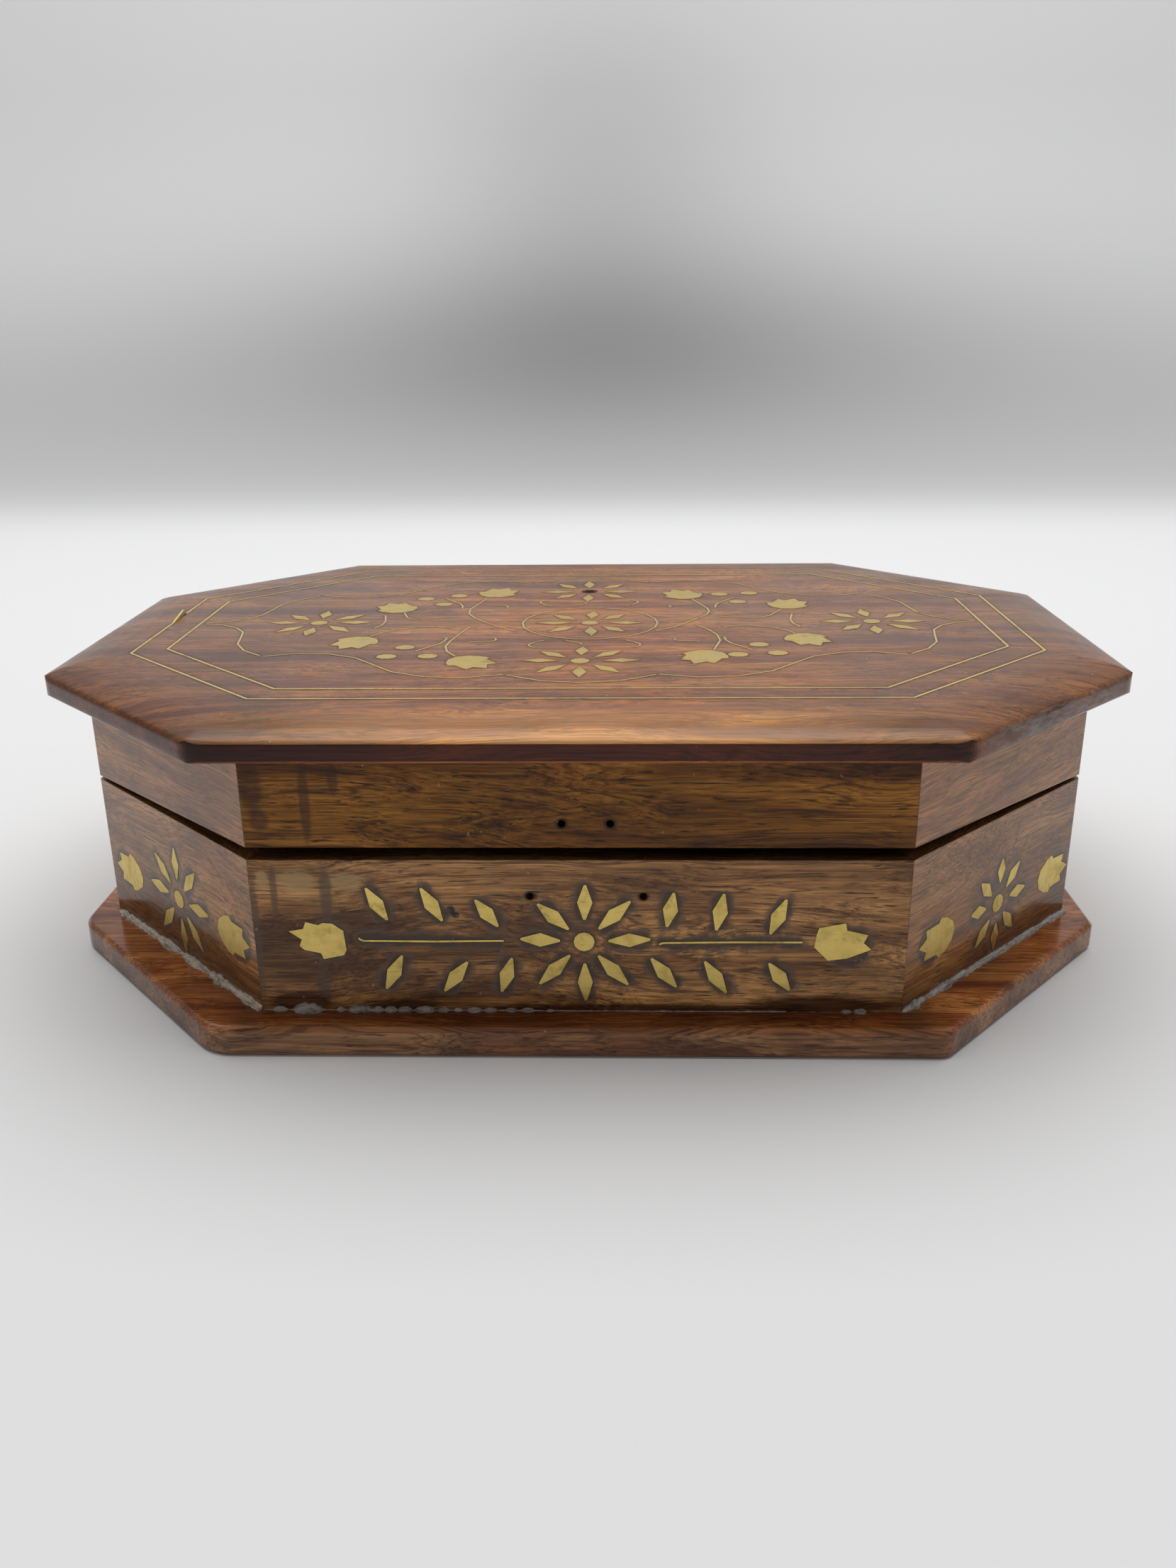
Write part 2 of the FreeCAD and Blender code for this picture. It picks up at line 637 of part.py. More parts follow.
def hinge_leaf(label, middle, plate_z, knuckles):
    """A plate let into the seam with knuckles on the hinge axis, given as (start, length) pairs."""
    low_x = "%s - sizes.leaf_length / 2" % middle
    wall = "sizes.wall_width / 2"
    pieces = [slab(label + "_plate", "sizes.leaf_length", "sizes.leaf_depth", "sizes.leaf_thick",
                   low_x, "%s - sizes.leaf_depth" % wall, plate_z)]
    bridge = "sizes.barrel_radius + sizes.hinge_clearance"
    for index, (start, length) in enumerate(knuckles):
        name = "%s_knuckle_%d" % (label, index)
        pieces.append(hinge_rod(name, "sizes.barrel_radius", middle, start, length))
        pieces.append(slab(name + "_bridge", length, bridge, "sizes.leaf_thick",
                           "%s + %s" % (low_x, start), wall, plate_z))
    leaf = doc.addObject("Part::MultiFuse", label + "_whole")
    leaf.Shapes = pieces
    doc.recompute()
    return leaf


def hinges():
    """Two butt hinges let into the back seam; returns what seats in each of the two back boards."""
    middles = {"left": "-sizes.hinge_spacing / 2", "right": "sizes.hinge_spacing / 2"}
    knuckle = "(sizes.leaf_length - 2 * sizes.hinge_clearance) / 3"
    step = "(%s + sizes.hinge_clearance)" % knuckle
    in_box, in_lid = [], []
    for side, middle in middles.items():
        # The pin is riveted into the box leaf's two knuckles, so it belongs to that leaf
        box_leaf = hinge_leaf(side + "_hinge_box", middle, "%s - sizes.leaf_thick" % WALL_TOP,
                              (("0", knuckle), ("2 * " + step, knuckle)))
        pin = hinge_rod(side + "_pin", "sizes.pin_radius", middle, "0", "sizes.leaf_length")
        box_leaf.Shapes = box_leaf.Shapes + [pin]
        lid_leaf = hinge_leaf(side + "_hinge_lid", middle, RIM_BOTTOM, ((step, knuckle),))
        bore = hinge_rod(side + "_bore", "sizes.pin_radius + sizes.pin_clearance", middle, "0",
                         "sizes.leaf_length")
        bored = doc.addObject("Part::Cut", side + "_hinge_lid_bored")
        bored.Base = lid_leaf
        bored.Tool = bore
        doc.recompute()
        in_box.append(keep(box_leaf, side + "_hinge_box_leaf"))
        in_lid.append(keep(bored, side + "_hinge_lid_leaf"))
    return in_box, in_lid


def drawn_in(octagon, inset):
    """An octagon's half length, half width and corner leg, drawn in by an inset all round."""
    half_x, half_y, leg = octagon
    return ("(%s - %s)" % (half_x, inset), "(%s - %s)" % (half_y, inset),
            "(%s - %s * (2 - sqrt(2)))" % (leg, inset))


def lid_levels():
    """Octagons of the lid board and their heights, from the lower arris up to the flat field."""
    outline = (LID_X, LID_Y, "sizes.lid_cut")
    shoulder = drawn_in(outline, "sizes.lid_shoulder_chamfer")
    field = drawn_in((BORDER_X, BORDER_Y, "sizes.border_cut"), "(-sizes.field_margin)")
    levels = [(drawn_in(outline, "sizes.lid_arris_chamfer"), "0"),
              (outline, "sizes.lid_arris_chamfer"),
              (outline, "sizes.lid_edge - sizes.lid_shoulder_chamfer")]
    for share in CROWN_SHARES:
        octagon = ["%s + %s * (%s - %s)" % (low, share, high, low)
                   for low, high in zip(shoulder, field)]
        rise = 1 - (1 - share) ** CROWN_POWER
        levels.append((octagon, "sizes.lid_edge + %s * sizes.crown_rise" % rise))
    return levels


def lid_blank():
    """The lid board before inlay: a loft up to the flat field, with its corners rounded off."""
    body = doc.addObject("PartDesign::Body", "lid_body")
    sections = []
    for index, ((half_x, half_y, leg), height) in enumerate(lid_levels()):
        sketch = octagon_sketch(body, "lid_level_%d" % index, half_x, half_y, leg, leg)
        sketch.setExpression("AttachmentOffset.Base.z", height)
        sections.append(sketch)
    doc.recompute()
    loft = body.newObject("PartDesign::AdditiveLoft", "lid_loft")
    loft.Profile = sections[0]
    loft.Sections = sections[1:]
    loft.Ruled = True
    stand(body, "0", "0", LID_BOTTOM)
    rounded = doc.addObject("PartDesign::Body", "lid_corner_body")
    outline = octagon_sketch(rounded, "lid_outline", LID_X, LID_Y, "sizes.lid_cut", "sizes.lid_cut")
    block = pad(rounded, outline, "lid_block", "sizes.lid_edge + sizes.crown_rise")
    round_edges(rounded, block, "lid_corners", "sizes.lid_corner_radius", is_upright)
    stand(rounded, "0", "0", LID_BOTTOM)
    blank = doc.addObject("Part::Common", "lid_blank")
    blank.Base = body
    blank.Tool = rounded
    doc.recompute()
    return blank


def octagon_ring(label, half_x, half_y, cut_leg, frame):
    """A border wire: the ring between two octagons about its middle line."""
    sketch = outline_sketch(label, frame)
    half_width = size("wire_width") / 2
    for offset in (-half_width, half_width):
        x, y = half_x + offset, half_y + offset
        leg = cut_leg + offset * (2 - math.sqrt(2))
        corners = [(leg - x, -y), (x - leg, -y), (x, leg - y), (x, y - leg)]
        corners += [(-a, -b) for a, b in corners]
        points = [Vector(a, b, 0) for a, b in corners]
        draw_lines(sketch, points + points[:1])
    return inlay(sketch, label)


def sprung_wire(groove, half_x, top):
    """The outer border wire: broken at the left, with one end sprung up out of its groove."""
    start, run = size("loose_start"), size("loose_run")
    low, high = top - size("inlay_depth"), top + size("inlay_proud")
    lift = size("loose_lift")
    width = size("wire_width")
    gap = doc.addObject("Part::Box", "loose_gap")
    bind(gap, Length="2 * sizes.wire_width", Width="sizes.loose_run + sizes.loose_break",
         Height="2 * sizes.inlay_depth")
    gap.Placement.Base = Vector(-half_x - width, start, low)
    remaining = doc.addObject("Part::Cut", "border_without_end")
    remaining.Base = groove
    remaining.Tool = gap
    profile = doc.addObject("Sketcher::SketchObject", "loose_profile")
    corners = ((start, low), (start + run, low + lift), (start + run, high + lift), (start, high))
    close_lines(profile, corners)
    profile.Placement = Placement(Vector(-half_x, 0, 0), Rotation(Vector(1, 1, 1), 120))
    end = doc.addObject("Part::Extrusion", "loose_end")
    end.Base = profile
    end.DirMode = "Normal"
    end.Solid = True
    end.Symmetric = True
    bind(end, LengthFwd="sizes.wire_width")
    whole = doc.addObject("Part::Fuse", "border_with_loose_end")
    whole.Base = remaining
    whole.Tool = end
    doc.recompute()
    return whole


def lid_inlay():
    """All the brass of the lid; returns what is let into the board."""
    top = value(LID_TOP)
    frame = Placement(Vector(0, 0, top), Rotation())
    half_x, half_y = value(BORDER_X), value(BORDER_Y)
    stretch_x, stretch_y = half_x / DRAWN_BORDER_X, half_y / DRAWN_BORDER_Y
    width = size("stem_width")

    def spot(point, side_x=1, side_y=1):
        return Vector(point[0] * stretch_x * side_x, point[1] * stretch_y * side_y, 0)

    def lay(sketch, wire, side_x=1, side_y=1):
        """Draw a wire of the layout, mirrored into another quarter where the sides are -1."""
        start, heading, points = wire
        draw_wire(sketch, spot(start, side_x, side_y), spot(heading, side_x, side_y),
                  [spot(point, side_x, side_y) for point in points], width)

    def stem_from(sketch, tulip, points):
        """A stem that leaves a tulip's base and runs through points of the layout's first quarter."""
        base, heading = tulip
        side_x, side_y = math.copysign(1, base[0]), math.copysign(1, base[1])
        away = Vector(*heading, 0).normalize() * -1
        draw_wire(sketch, spot(base) + away * STEM_GAP, away,
                  [spot(point, side_x, side_y) for point in points], width)

    groove = octagon_ring("lid_border_outer", half_x, half_y, size("border_cut"), frame)
    step = size("border_step")
    inner = octagon_ring("lid_border_inner", half_x - step, half_y - step,
                         size("inner_border_cut"), frame)
    keep(sprung_wire(groove, half_x, top), "lid_border_outer")
    pieces = [groove, keep(inner, "lid_border_inner")]

    cartouche = outline_sketch("lid_cartouche", frame)
    for side_y in (1, -1):
        lay(cartouche, CARTOUCHE_LOBE, 1, side_y)
        for side_x in (1, -1):
            for wire in CARTOUCHE_QUARTER:
                lay(cartouche, wire, side_x, side_y)
    scrolls = outline_sketch("lid_scrolls", frame)
    for offset in (-width / 2, width / 2):
        radius = size("ring_radius") + offset
        draw_disc(scrolls, spot(LID_FLOWERS[0]), radius, radius, RING_SIDES)
    for tulip in INNER_TULIPS:
        stem_from(scrolls, tulip, LONG_STEM if tulip[0][1] > 0 else SHORT_STEM)
    for tulip in OUTER_TULIPS:
        stem_from(scrolls, tulip, OUTER_STEM)
    for side_y in (1, -1):
        lay(scrolls, FLOWER_STALK, 1, side_y)
        for side_x in (1, -1):
            for wire in SCROLL_QUARTER:
                lay(scrolls, wire, side_x, side_y)
    for side_x in (1, -1):
        lay(scrolls, SIDE_WAVE, side_x, 1)

    petals = outline_sketch("lid_petals", frame)
    for index, place in enumerate(LID_FLOWERS):
        draw_petals(petals, spot(place), float(index))
    discs = outline_sketch("lid_flower_centres", frame)
    for place in LID_DISCS:
        draw_disc(discs, spot(place), size("disc_radius"), size("disc_radius"), DISC_SIDES)
    tulips = outline_sketch("lid_tulips", frame)
    for base, heading in INNER_TULIPS + OUTER_TULIPS:
        draw_tulip(tulips, even_tulip(), spot(base), Vector(*heading, 0), size("lid_tulip_length"),
                   size("lid_tulip_width"))
    berries = outline_sketch("lid_berries", frame)
    for place in LID_BERRIES:
        draw_disc(berries, spot(place), size("berry_length") / 2, size("berry_width") / 2,
                  BERRY_SIDES)
    drawn = {"lid_cartouche": cartouche, "lid_scrolls": scrolls, "lid_petals": petals,
             "lid_flower_centres": discs, "lid_tulips": tulips, "lid_berries": berries}
    pieces += [keep(inlay(sketch, label), label) for label, sketch in drawn.items()]

    empty = outline_sketch("lost_disc", frame)
    draw_disc(empty, spot(LOST_DISC), size("disc_radius"), size("disc_radius"), DISC_SIDES)
    pieces.append(inlay(empty, "lost_disc"))
    return pieces


def floor_lining():
    """Felt cut to the floor of the tray."""
    body = doc.addObject("PartDesign::Body", "lining_body")
    inset = "(sizes.wall_thick + sizes.lining_clearance)"
    leg = "(sizes.wall_cut - %s * (2 - sqrt(2)))" % inset
    outline = octagon_sketch(body, "lining_outline", "sizes.wall_length / 2 - %s" % inset,
                             "sizes.wall_width / 2 - %s" % inset, leg, leg)
    pad(body, outline, "lining_pad", "sizes.lining_thick")
    stand(body, "0", "0", "sizes.base_thick")
    return keep(body, "floor_lining")


def rings(seated_in_box, seated_in_lid):
    """Both rings of boards, with what is let into each board taken out of it."""
    wedge = relief_wedge()
    seats = {"front": front_inlay() + clasp_holes(
        "box_clasp_hole", "sizes.clasp_box_spacing", "sizes.base_thick + sizes.clasp_box_height")}
    for seed, panel in enumerate(PANELS):
        if panel not in ("front", *PLAIN):
            seats[panel] = side_inlay(panel, float(seed))
    seats["back"] = seated_in_box
    rim_seats = {panel: [wedge] for panel in RELIEVED}
    rim_seats["front"] = [wedge] + clasp_holes(
        "rim_clasp_hole", "sizes.clasp_rim_spacing", "%s + sizes.clasp_rim_height" % RIM_BOTTOM)
    rim_seats["back"] = seated_in_lid
    for panel, (length, x, y) in PANELS.items():
        turn = TURN_DEGREES[panel]
        lower = wall_board("lower_" + panel, length, "sizes.lower_height")
        stand(lower, x, y, "sizes.base_thick", turn)
        rim = wall_board("rim_" + panel, length, "sizes.rim_height")
        stand(rim, x, y, RIM_BOTTOM, turn)
        for board, let_in, ring in ((lower, seats, "lower_"), (rim, rim_seats, "rim_")):
            if panel in let_in:
                board = cut(board, let_in[panel], ring + panel)
            keep(board, ring + panel)


def check_pieces():
    """Stop if any object failed or any piece has no sound shape."""
    for item in doc.Objects:
        if "Invalid" in item.State or "Error" in item.State:
            raise RuntimeError("%s failed: %s" % (item.Label, item.State))
    for piece in nodes:
        shape = piece.Shape
        if shape.isNull() or not shape.isValid() or not shape.Solids:
            raise RuntimeError("%s has no sound shape" % piece.Label)


def write_pieces():
    os.makedirs("parts", exist_ok=True)
    for piece in nodes:
        piece.Shape.exportStep(os.path.join("parts", piece.Label + ".step"))
        print(piece.Label, len(piece.Shape.Solids), "solids,", round(piece.Shape.Volume, 2), "mm3")


base_plate()
floor_lining()
rings(*hinges())
keep(cut(lid_blank(), lid_inlay(), "lid_board"), "lid_board")
doc.recompute()
check_pieces()
write_pieces()
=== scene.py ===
import json
import math

import bmesh
import bpy
from mathutils import Matrix, Vector, noise


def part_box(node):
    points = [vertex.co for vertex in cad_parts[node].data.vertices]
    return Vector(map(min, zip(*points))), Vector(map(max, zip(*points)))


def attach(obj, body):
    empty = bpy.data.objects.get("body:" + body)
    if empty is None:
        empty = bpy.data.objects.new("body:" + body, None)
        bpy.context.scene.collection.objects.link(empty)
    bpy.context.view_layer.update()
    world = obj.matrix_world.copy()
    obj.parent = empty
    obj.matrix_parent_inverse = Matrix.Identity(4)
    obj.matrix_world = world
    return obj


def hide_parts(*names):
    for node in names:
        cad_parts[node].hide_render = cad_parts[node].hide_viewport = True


# Looks of the inlaid wooden box: varnished wood, dark filler round the brass of the walls, glue along
# the foot of the walls and a felt floor. Metres, +Z up; the front faces -Y. Shaders and pieces are
# laid out in millimetres.

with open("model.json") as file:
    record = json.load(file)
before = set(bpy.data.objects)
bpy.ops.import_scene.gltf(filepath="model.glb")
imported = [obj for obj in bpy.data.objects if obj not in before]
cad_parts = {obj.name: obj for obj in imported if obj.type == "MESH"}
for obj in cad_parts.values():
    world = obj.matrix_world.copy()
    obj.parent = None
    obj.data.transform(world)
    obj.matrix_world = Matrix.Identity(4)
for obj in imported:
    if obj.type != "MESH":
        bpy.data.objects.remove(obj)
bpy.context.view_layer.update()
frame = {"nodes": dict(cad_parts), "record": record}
nodes = frame["nodes"]
MM = 0.001

# Camera fitted to the photograph
PHOTO_HEIGHT_PX = 2212
FOCAL_PX = 1843.3
CAMERA_MM = (9.75, -334.96, 153.09)
PITCH_DEGREES = -20.34
YAW_DEGREES = -1.70
ROLL_DEGREES = -0.62

# Boards of a ring in the order in which they turn, an eighth each, from the front
BOARDS = ("front", "front_right", "right", "back_right", "back", "back_left", "left", "front_left")
TURN_DEGREES = {board: 45.0 * index for index, board in enumerate(BOARDS)}

# Where a flower of the lid has lost its centre
LOST_DISC_MM = (-0.2, 38.2, 73.4)
LOST_DISC_HALF_MM = (1.9, 1.9, 0.5)

# Marks on the front face: middle x and z, half width and half height
FRONT_MM = -84.0
RIM_RUNS_MM = ((-67.6, 60.0, 2.6, 8.0), (-56.6, 56.0, 1.3, 11.0), (-50.4, 61.0, 1.3, 4.0),
               (-66.5, 52.0, 2.4, 3.0))
RIM_HOLES_MM = ((-3.3, 51.2, 1.6, 1.4), (6.8, 51.2, 1.6, 1.4))
WORN_PATCHES_MM = ((-67.2, 38.2, 1.3, 2.6), (-60.0, 37.8, 4.8, 2.8), (-49.0, 38.0, 4.2, 2.4))
COLUMNS_MM = ((-53.8, 35.0, 1.5, 8.0), (-64.9, 36.0, 0.9, 7.0), (-55.8, 13.0, 1.7, 6.0),
              (-69.5, 25.0, 1.2, 18.0))
# Painted shade along the foot, where the wall meets the base
FOOT_SHADE_MM = ((52.0, 8.6, 18.0, 2.6), (-61.0, 9.2, 9.0, 3.0), (-38.0, 8.2, 9.0, 1.8),
                 (10.0, 7.4, 40.0, 1.7))
KNOTS_MM = ((-27.4, 31.3, 1.2, 1.3), (-26.3, 30.2, 0.9, 0.8), (-10.2, 34.7, 1.7, 1.2),
            (13.7, 34.6, 1.5, 1.2))

# Drops of glue along the foot of the front board: way along, half width, height
DROPS_MM = ((4.0, 1.7, 1.1), (10.2, 3.4, 2.1), (17.4, 1.0, 0.9), (21.8, 2.8, 1.6), (25.6, 1.3, 1.2),
            (28.4, 1.4, 1.3), (31.6, 1.7, 1.2), (36.0, 2.3, 1.4), (40.0, 1.3, 1.1), (43.3, 1.0, 0.8),
            (46.8, 1.6, 1.2), (50.4, 1.4, 1.0), (55.0, 1.2, 0.9), (58.6, 1.5, 0.9), (63.5, 0.9, 0.6),
            (128.0, 1.2, 0.9), (131.0, 1.5, 1.1))
# Beyond this the line of glue between the drops is thinner
DROPS_END_MM = 115.0

# Wood colours as (dark, middle, light), linear
# The diagonal boards' colours, paler and greyer than the front boards' in their darker tones, are partly
# their own wood and partly a painted reflection
LID_COLOURS = ((0.130, 0.027, 0.004), (0.285, 0.082, 0.010), (0.42, 0.150, 0.022))
RIM_COLOURS = ((0.055, 0.016, 0.003), (0.215, 0.078, 0.008), (0.360, 0.150, 0.020))
DIAGONAL_RIM_COLOURS = ((0.220, 0.082, 0.028), (0.390, 0.160, 0.045), (0.520, 0.240, 0.075))
WALL_COLOURS = ((0.105, 0.042, 0.016), (0.330, 0.150, 0.050), (0.560, 0.280, 0.100))
DIAGONAL_COLOURS = ((0.190, 0.074, 0.026), (0.340, 0.145, 0.045), (0.480, 0.225, 0.075))
BASE_COLOURS = ((0.110, 0.025, 0.006), (0.240, 0.074, 0.018), (0.360, 0.135, 0.036))
FILLER_COLOUR = (0.120, 0.078, 0.056)
# Near black: painted shade in the seam between rim and wall, and the dark of knots, bruised hole edges, the
# lost disc's hole and the joints round the brass
GAP_COLOUR = (0.014, 0.010, 0.008)
BRASS_COLOUR = (0.70, 0.52, 0.16)
WIRE_COLOUR = (0.88, 0.72, 0.28)
HINGE_COLOUR = (0.58, 0.42, 0.16)
FELT_COLOUR = (0.115, 0.008, 0.012)
DUST_COLOUR = (0.50, 0.47, 0.43)
RUN_COLOUR = (0.045, 0.018, 0.010)
WORN_COLOUR = (0.46, 0.30, 0.13)
COLUMN_COLOUR = (0.10, 0.068, 0.05)
# Painted shade along the foot of the front wall
FOOT_SHADE_COLOUR = (0.030, 0.008, 0.005)
RUBBED_COLOUR = (0.24, 0.20, 0.18)
PAPER_COLOUR = (0.80, 0.80, 0.80)
# Painted shade on the backdrop
BACKDROP_SHADE_COLOUR = (0.27, 0.27, 0.27)
SKY_COLOUR = (0.985, 0.99, 1.0)

# Glue as (clear colour, dusty colour, thickness in millimetres); the front has drops instead
FRONT_GLUE = ((0.09, 0.055, 0.04), (0.34, 0.29, 0.26))
LEFT_GLUE = ((0.24, 0.16, 0.10), (0.62, 0.54, 0.45), 1.9)
RIGHT_GLUE = ((0.14, 0.09, 0.065), (0.52, 0.48, 0.44), 1.6)
OTHER_GLUE = ((0.08, 0.04, 0.022), (0.30, 0.26, 0.22), 0.9)

# How far a band of figure runs along the boards
WALL_GRAIN_MM = 90.0
RIM_GRAIN_MM = 120.0
LID_GRAIN_MM = 240.0
BASE_GRAIN_MM = 200.0

# Light, in metres
LAMP_PLACE = (0.0, 0.30, 1.15)
LAMP_TARGET = (0.0, 0.05, 0.0)
LAMP_SIZE = (2.0, 1.2)
LAMP_WATTS = 17.0
SKY_STRENGTH = 0.28


# Shader building


class Shader:
    """A node material with short calls for the nodes that the looks here need."""

    def __init__(self, name):
        self.material = bpy.data.materials.new(name)
        self.material.use_nodes = True
        self.tree = self.material.node_tree
        self.surface = self.tree.nodes["Principled BSDF"]
        coords = self.add("ShaderNodeTexCoord")
        # Object coordinates in millimetres
        self.place = self.vector("DIVIDE", coords.outputs["Object"], (MM, MM, MM))

    def add(self, kind, **settings):
        node = self.tree.nodes.new(kind)
        for name, setting in settings.items():
            setattr(node, name, setting)
        return node

    def put(self, socket, source):
        """Link a socket to another node's output, or set it to a constant."""
        if isinstance(source, bpy.types.NodeSocket):
            self.tree.links.new(source, socket)
        else:
            socket.default_value = source

    def math(self, operation, first, second=0.0, third=0.0, clamp=False):
        node = self.add("ShaderNodeMath", operation=operation, use_clamp=clamp)
        for socket, source in zip(node.inputs, (first, second, third)):
            self.put(socket, source)
        return node.outputs[0]

    def vector(self, operation, first, second=(0, 0, 0), third=(0, 0, 0)):
        node = self.add("ShaderNodeVectorMath", operation=operation)
        for socket, source in zip(node.inputs, (first, second, third)):
            self.put(socket, source)
        return next(socket for socket in node.outputs if socket.enabled)

    def axis(self, source, name):
        """One coordinate of a vector."""
        node = self.add("ShaderNodeSeparateXYZ")
        self.put(node.inputs["Vector"], source)
        return node.outputs[name]

    def noise(self, place, scale=1.0, detail=2.0, roughness=0.5):
        node = self.add("ShaderNodeTexNoise")
        self.put(node.inputs["Vector"], place)
        node.inputs["Scale"].default_value = scale
        node.inputs["Detail"].default_value = detail
        node.inputs["Roughness"].default_value = roughness
        return node.outputs["Fac"]

    def spread(self, source, low, high, to_low=0.0, to_high=1.0):
        """Map a stretch of values smoothly to another, flat outside it."""
        node = self.add("ShaderNodeMapRange", interpolation_type="SMOOTHSTEP")
        self.put(node.inputs["Value"], source)
        for name, number in (("From Min", low), ("From Max", high),
                             ("To Min", to_low), ("To Max", to_high)):
            node.inputs[name].default_value = number
        return node.outputs["Result"]

    def ramp(self, source, *stops):
        """Colours at places along a value."""
        node = self.add("ShaderNodeValToRGB")
        elements = node.color_ramp.elements
        while len(elements) < len(stops):
            elements.new(0.5)
        for element, (position, colour) in zip(elements, stops):
            element.position = position
            element.color = (*colour, 1.0)
        self.put(node.inputs["Fac"], source)
        return node.outputs["Color"]

    def mix(self, share, first, second):
        node = self.add("ShaderNodeMix", data_type="RGBA")
        self.put(node.inputs["Factor"], share)
        colours = [socket for socket in node.inputs if socket.type == "RGBA"]
        for socket, source in zip(colours, (first, second)):
            self.put(socket, source if isinstance(source, bpy.types.NodeSocket) else (*source, 1.0))
        return [socket for socket in node.outputs if socket.type == "RGBA"][0]

    def bump(self, height, depth_mm, strength=1.0, normal=None):
        node = self.add("ShaderNodeBump")
        node.inputs["Strength"].default_value = strength
        node.inputs["Distance"].default_value = depth_mm * MM
        self.put(node.inputs["Height"], height)
        if normal is not None:
            self.put(node.inputs["Normal"], normal)
        return node.outputs["Normal"]

    def soft_edges(self, radius_mm):
        """Normals that roll over the arrises, as hand-rubbed edges have them."""
        node = self.add("ShaderNodeBevel", samples=4)
        node.inputs["Radius"].default_value = radius_mm * MM
        return node.outputs["Normal"]

    def edge_share(self, radius_mm):
        """Near 1 along the solid's sharp edges and 0 further in; faint along the recesses of the brass."""
        flat = self.add("ShaderNodeNewGeometry").outputs["True Normal"]
        alike = self.vector("DOT_PRODUCT", self.soft_edges(radius_mm), flat)
        return self.spread(alike, 0.998, 0.93)

    def facing(self, name):
        """How far the flat surface faces along a coordinate, from -1 to 1."""
        return self.axis(self.add("ShaderNodeNewGeometry").outputs["True Normal"], name)

    def finish(self, **sockets):
        """Fill the surface's sockets, by their names in lower case with underscores."""
        names = {socket.name.lower().replace(" ", "_"): socket for socket in self.surface.inputs}
        for name, source in sockets.items():
            self.put(names[name], source)
        return self.material


# Where the brass is, read from the frame, for the filler round it


def islands(node):
    """Corner points of each separate solid of a CAD node, in millimetres and in a fixed order."""
    mesh = bmesh.new()
    mesh.from_mesh(node.data)
    bmesh.ops.remove_doubles(mesh, verts=mesh.verts, dist=1e-6)
    unseen = set(mesh.verts)
    groups = []
    while unseen:
        waiting = [unseen.pop()]
        group = []
        while waiting:
            vertex = waiting.pop()
            group.append(vertex.co / MM)
            near = {link.other_vert(vertex) for link in vertex.link_edges} & unseen
            unseen -= near
            waiting.extend(near)
        groups.append(sorted(group, key=tuple))
    mesh.free()
    return sorted(groups, key=lambda group: tuple(group[0]))


def capsule(points):
    """The segment and radius of a capsule that a flat piece of inlay fills."""
    middle = sum(points, Vector()) / len(points)
    tip = max(points, key=lambda point: (point - middle).length)
    far_tip = max(points, key=lambda point: (point - tip).length)
    along = (far_tip - tip).normalized()
    asides = [point - tip - along * (point - tip).dot(along) for point in points]
    wide = max(asides, key=lambda aside: aside.length).normalized()
    reaches = [aside.dot(wide) for aside in asides]
    radius = (max(reaches) - min(reaches)) / 2
    centring = wide * (max(reaches) + min(reaches)) / 2
    inset = min(radius, (far_tip - tip).length / 2)
    return tip + along * inset + centring, far_tip - along * inset + centring, radius


def brass_distance(shader, brass_nodes):
    """Millimetres from the surface to the nearest piece of inlay of these CAD nodes."""
    nearest = None
    for name in brass_nodes:
        for points in islands(nodes[name]):
            start, end, radius = capsule(points)
            along = end - start
            offset = shader.vector("SUBTRACT", shader.place, start)
            if along.length > radius:
                share = shader.vector("DOT_PRODUCT", offset, along / along.length_squared)
                share = shader.math("ADD", share, clamp=True)
                offset = shader.vector("MULTIPLY_ADD", share, -along, offset)
            distance = shader.math("SUBTRACT", shader.vector("LENGTH", offset), 0.9 * radius)
            nearest = distance if nearest is None else shader.math("MINIMUM", nearest, distance)
    return nearest


# Wood


def stain(shader, colour, centre, half, tint, strength, ragged=0.5):
    """A mark about a place in millimetres, whole in its middle, with a ragged edge along the grain."""
    offset = shader.vector("SUBTRACT", shader.place, centre)
    reach = shader.vector("LENGTH", shader.vector("DIVIDE", offset, half))
    rough = shader.noise(shader.vector("MULTIPLY", shader.place, (0.22, 0.9, 0.9)), 1.0, 4.0, 0.65)
    edge = shader.math("MULTIPLY_ADD", shader.math("SUBTRACT", rough, 0.5), 2 * ragged, reach)
    return shader.mix(shader.spread(edge, 1.15, 0.55, 0.0, strength), colour, tint)


def front_stains_and_shade(shader, colour, marks, depth, tint, strength, ragged):
    """Marks on the front face, stains and painted shade alike, from a table of marks; depth is how far they
    reach into the wood.
    """
    for x, z, half_x, half_z in marks:
        colour = stain(shader, colour, (x, FRONT_MM, z), (half_x, depth, half_z), tint, strength, ragged)
    return colour


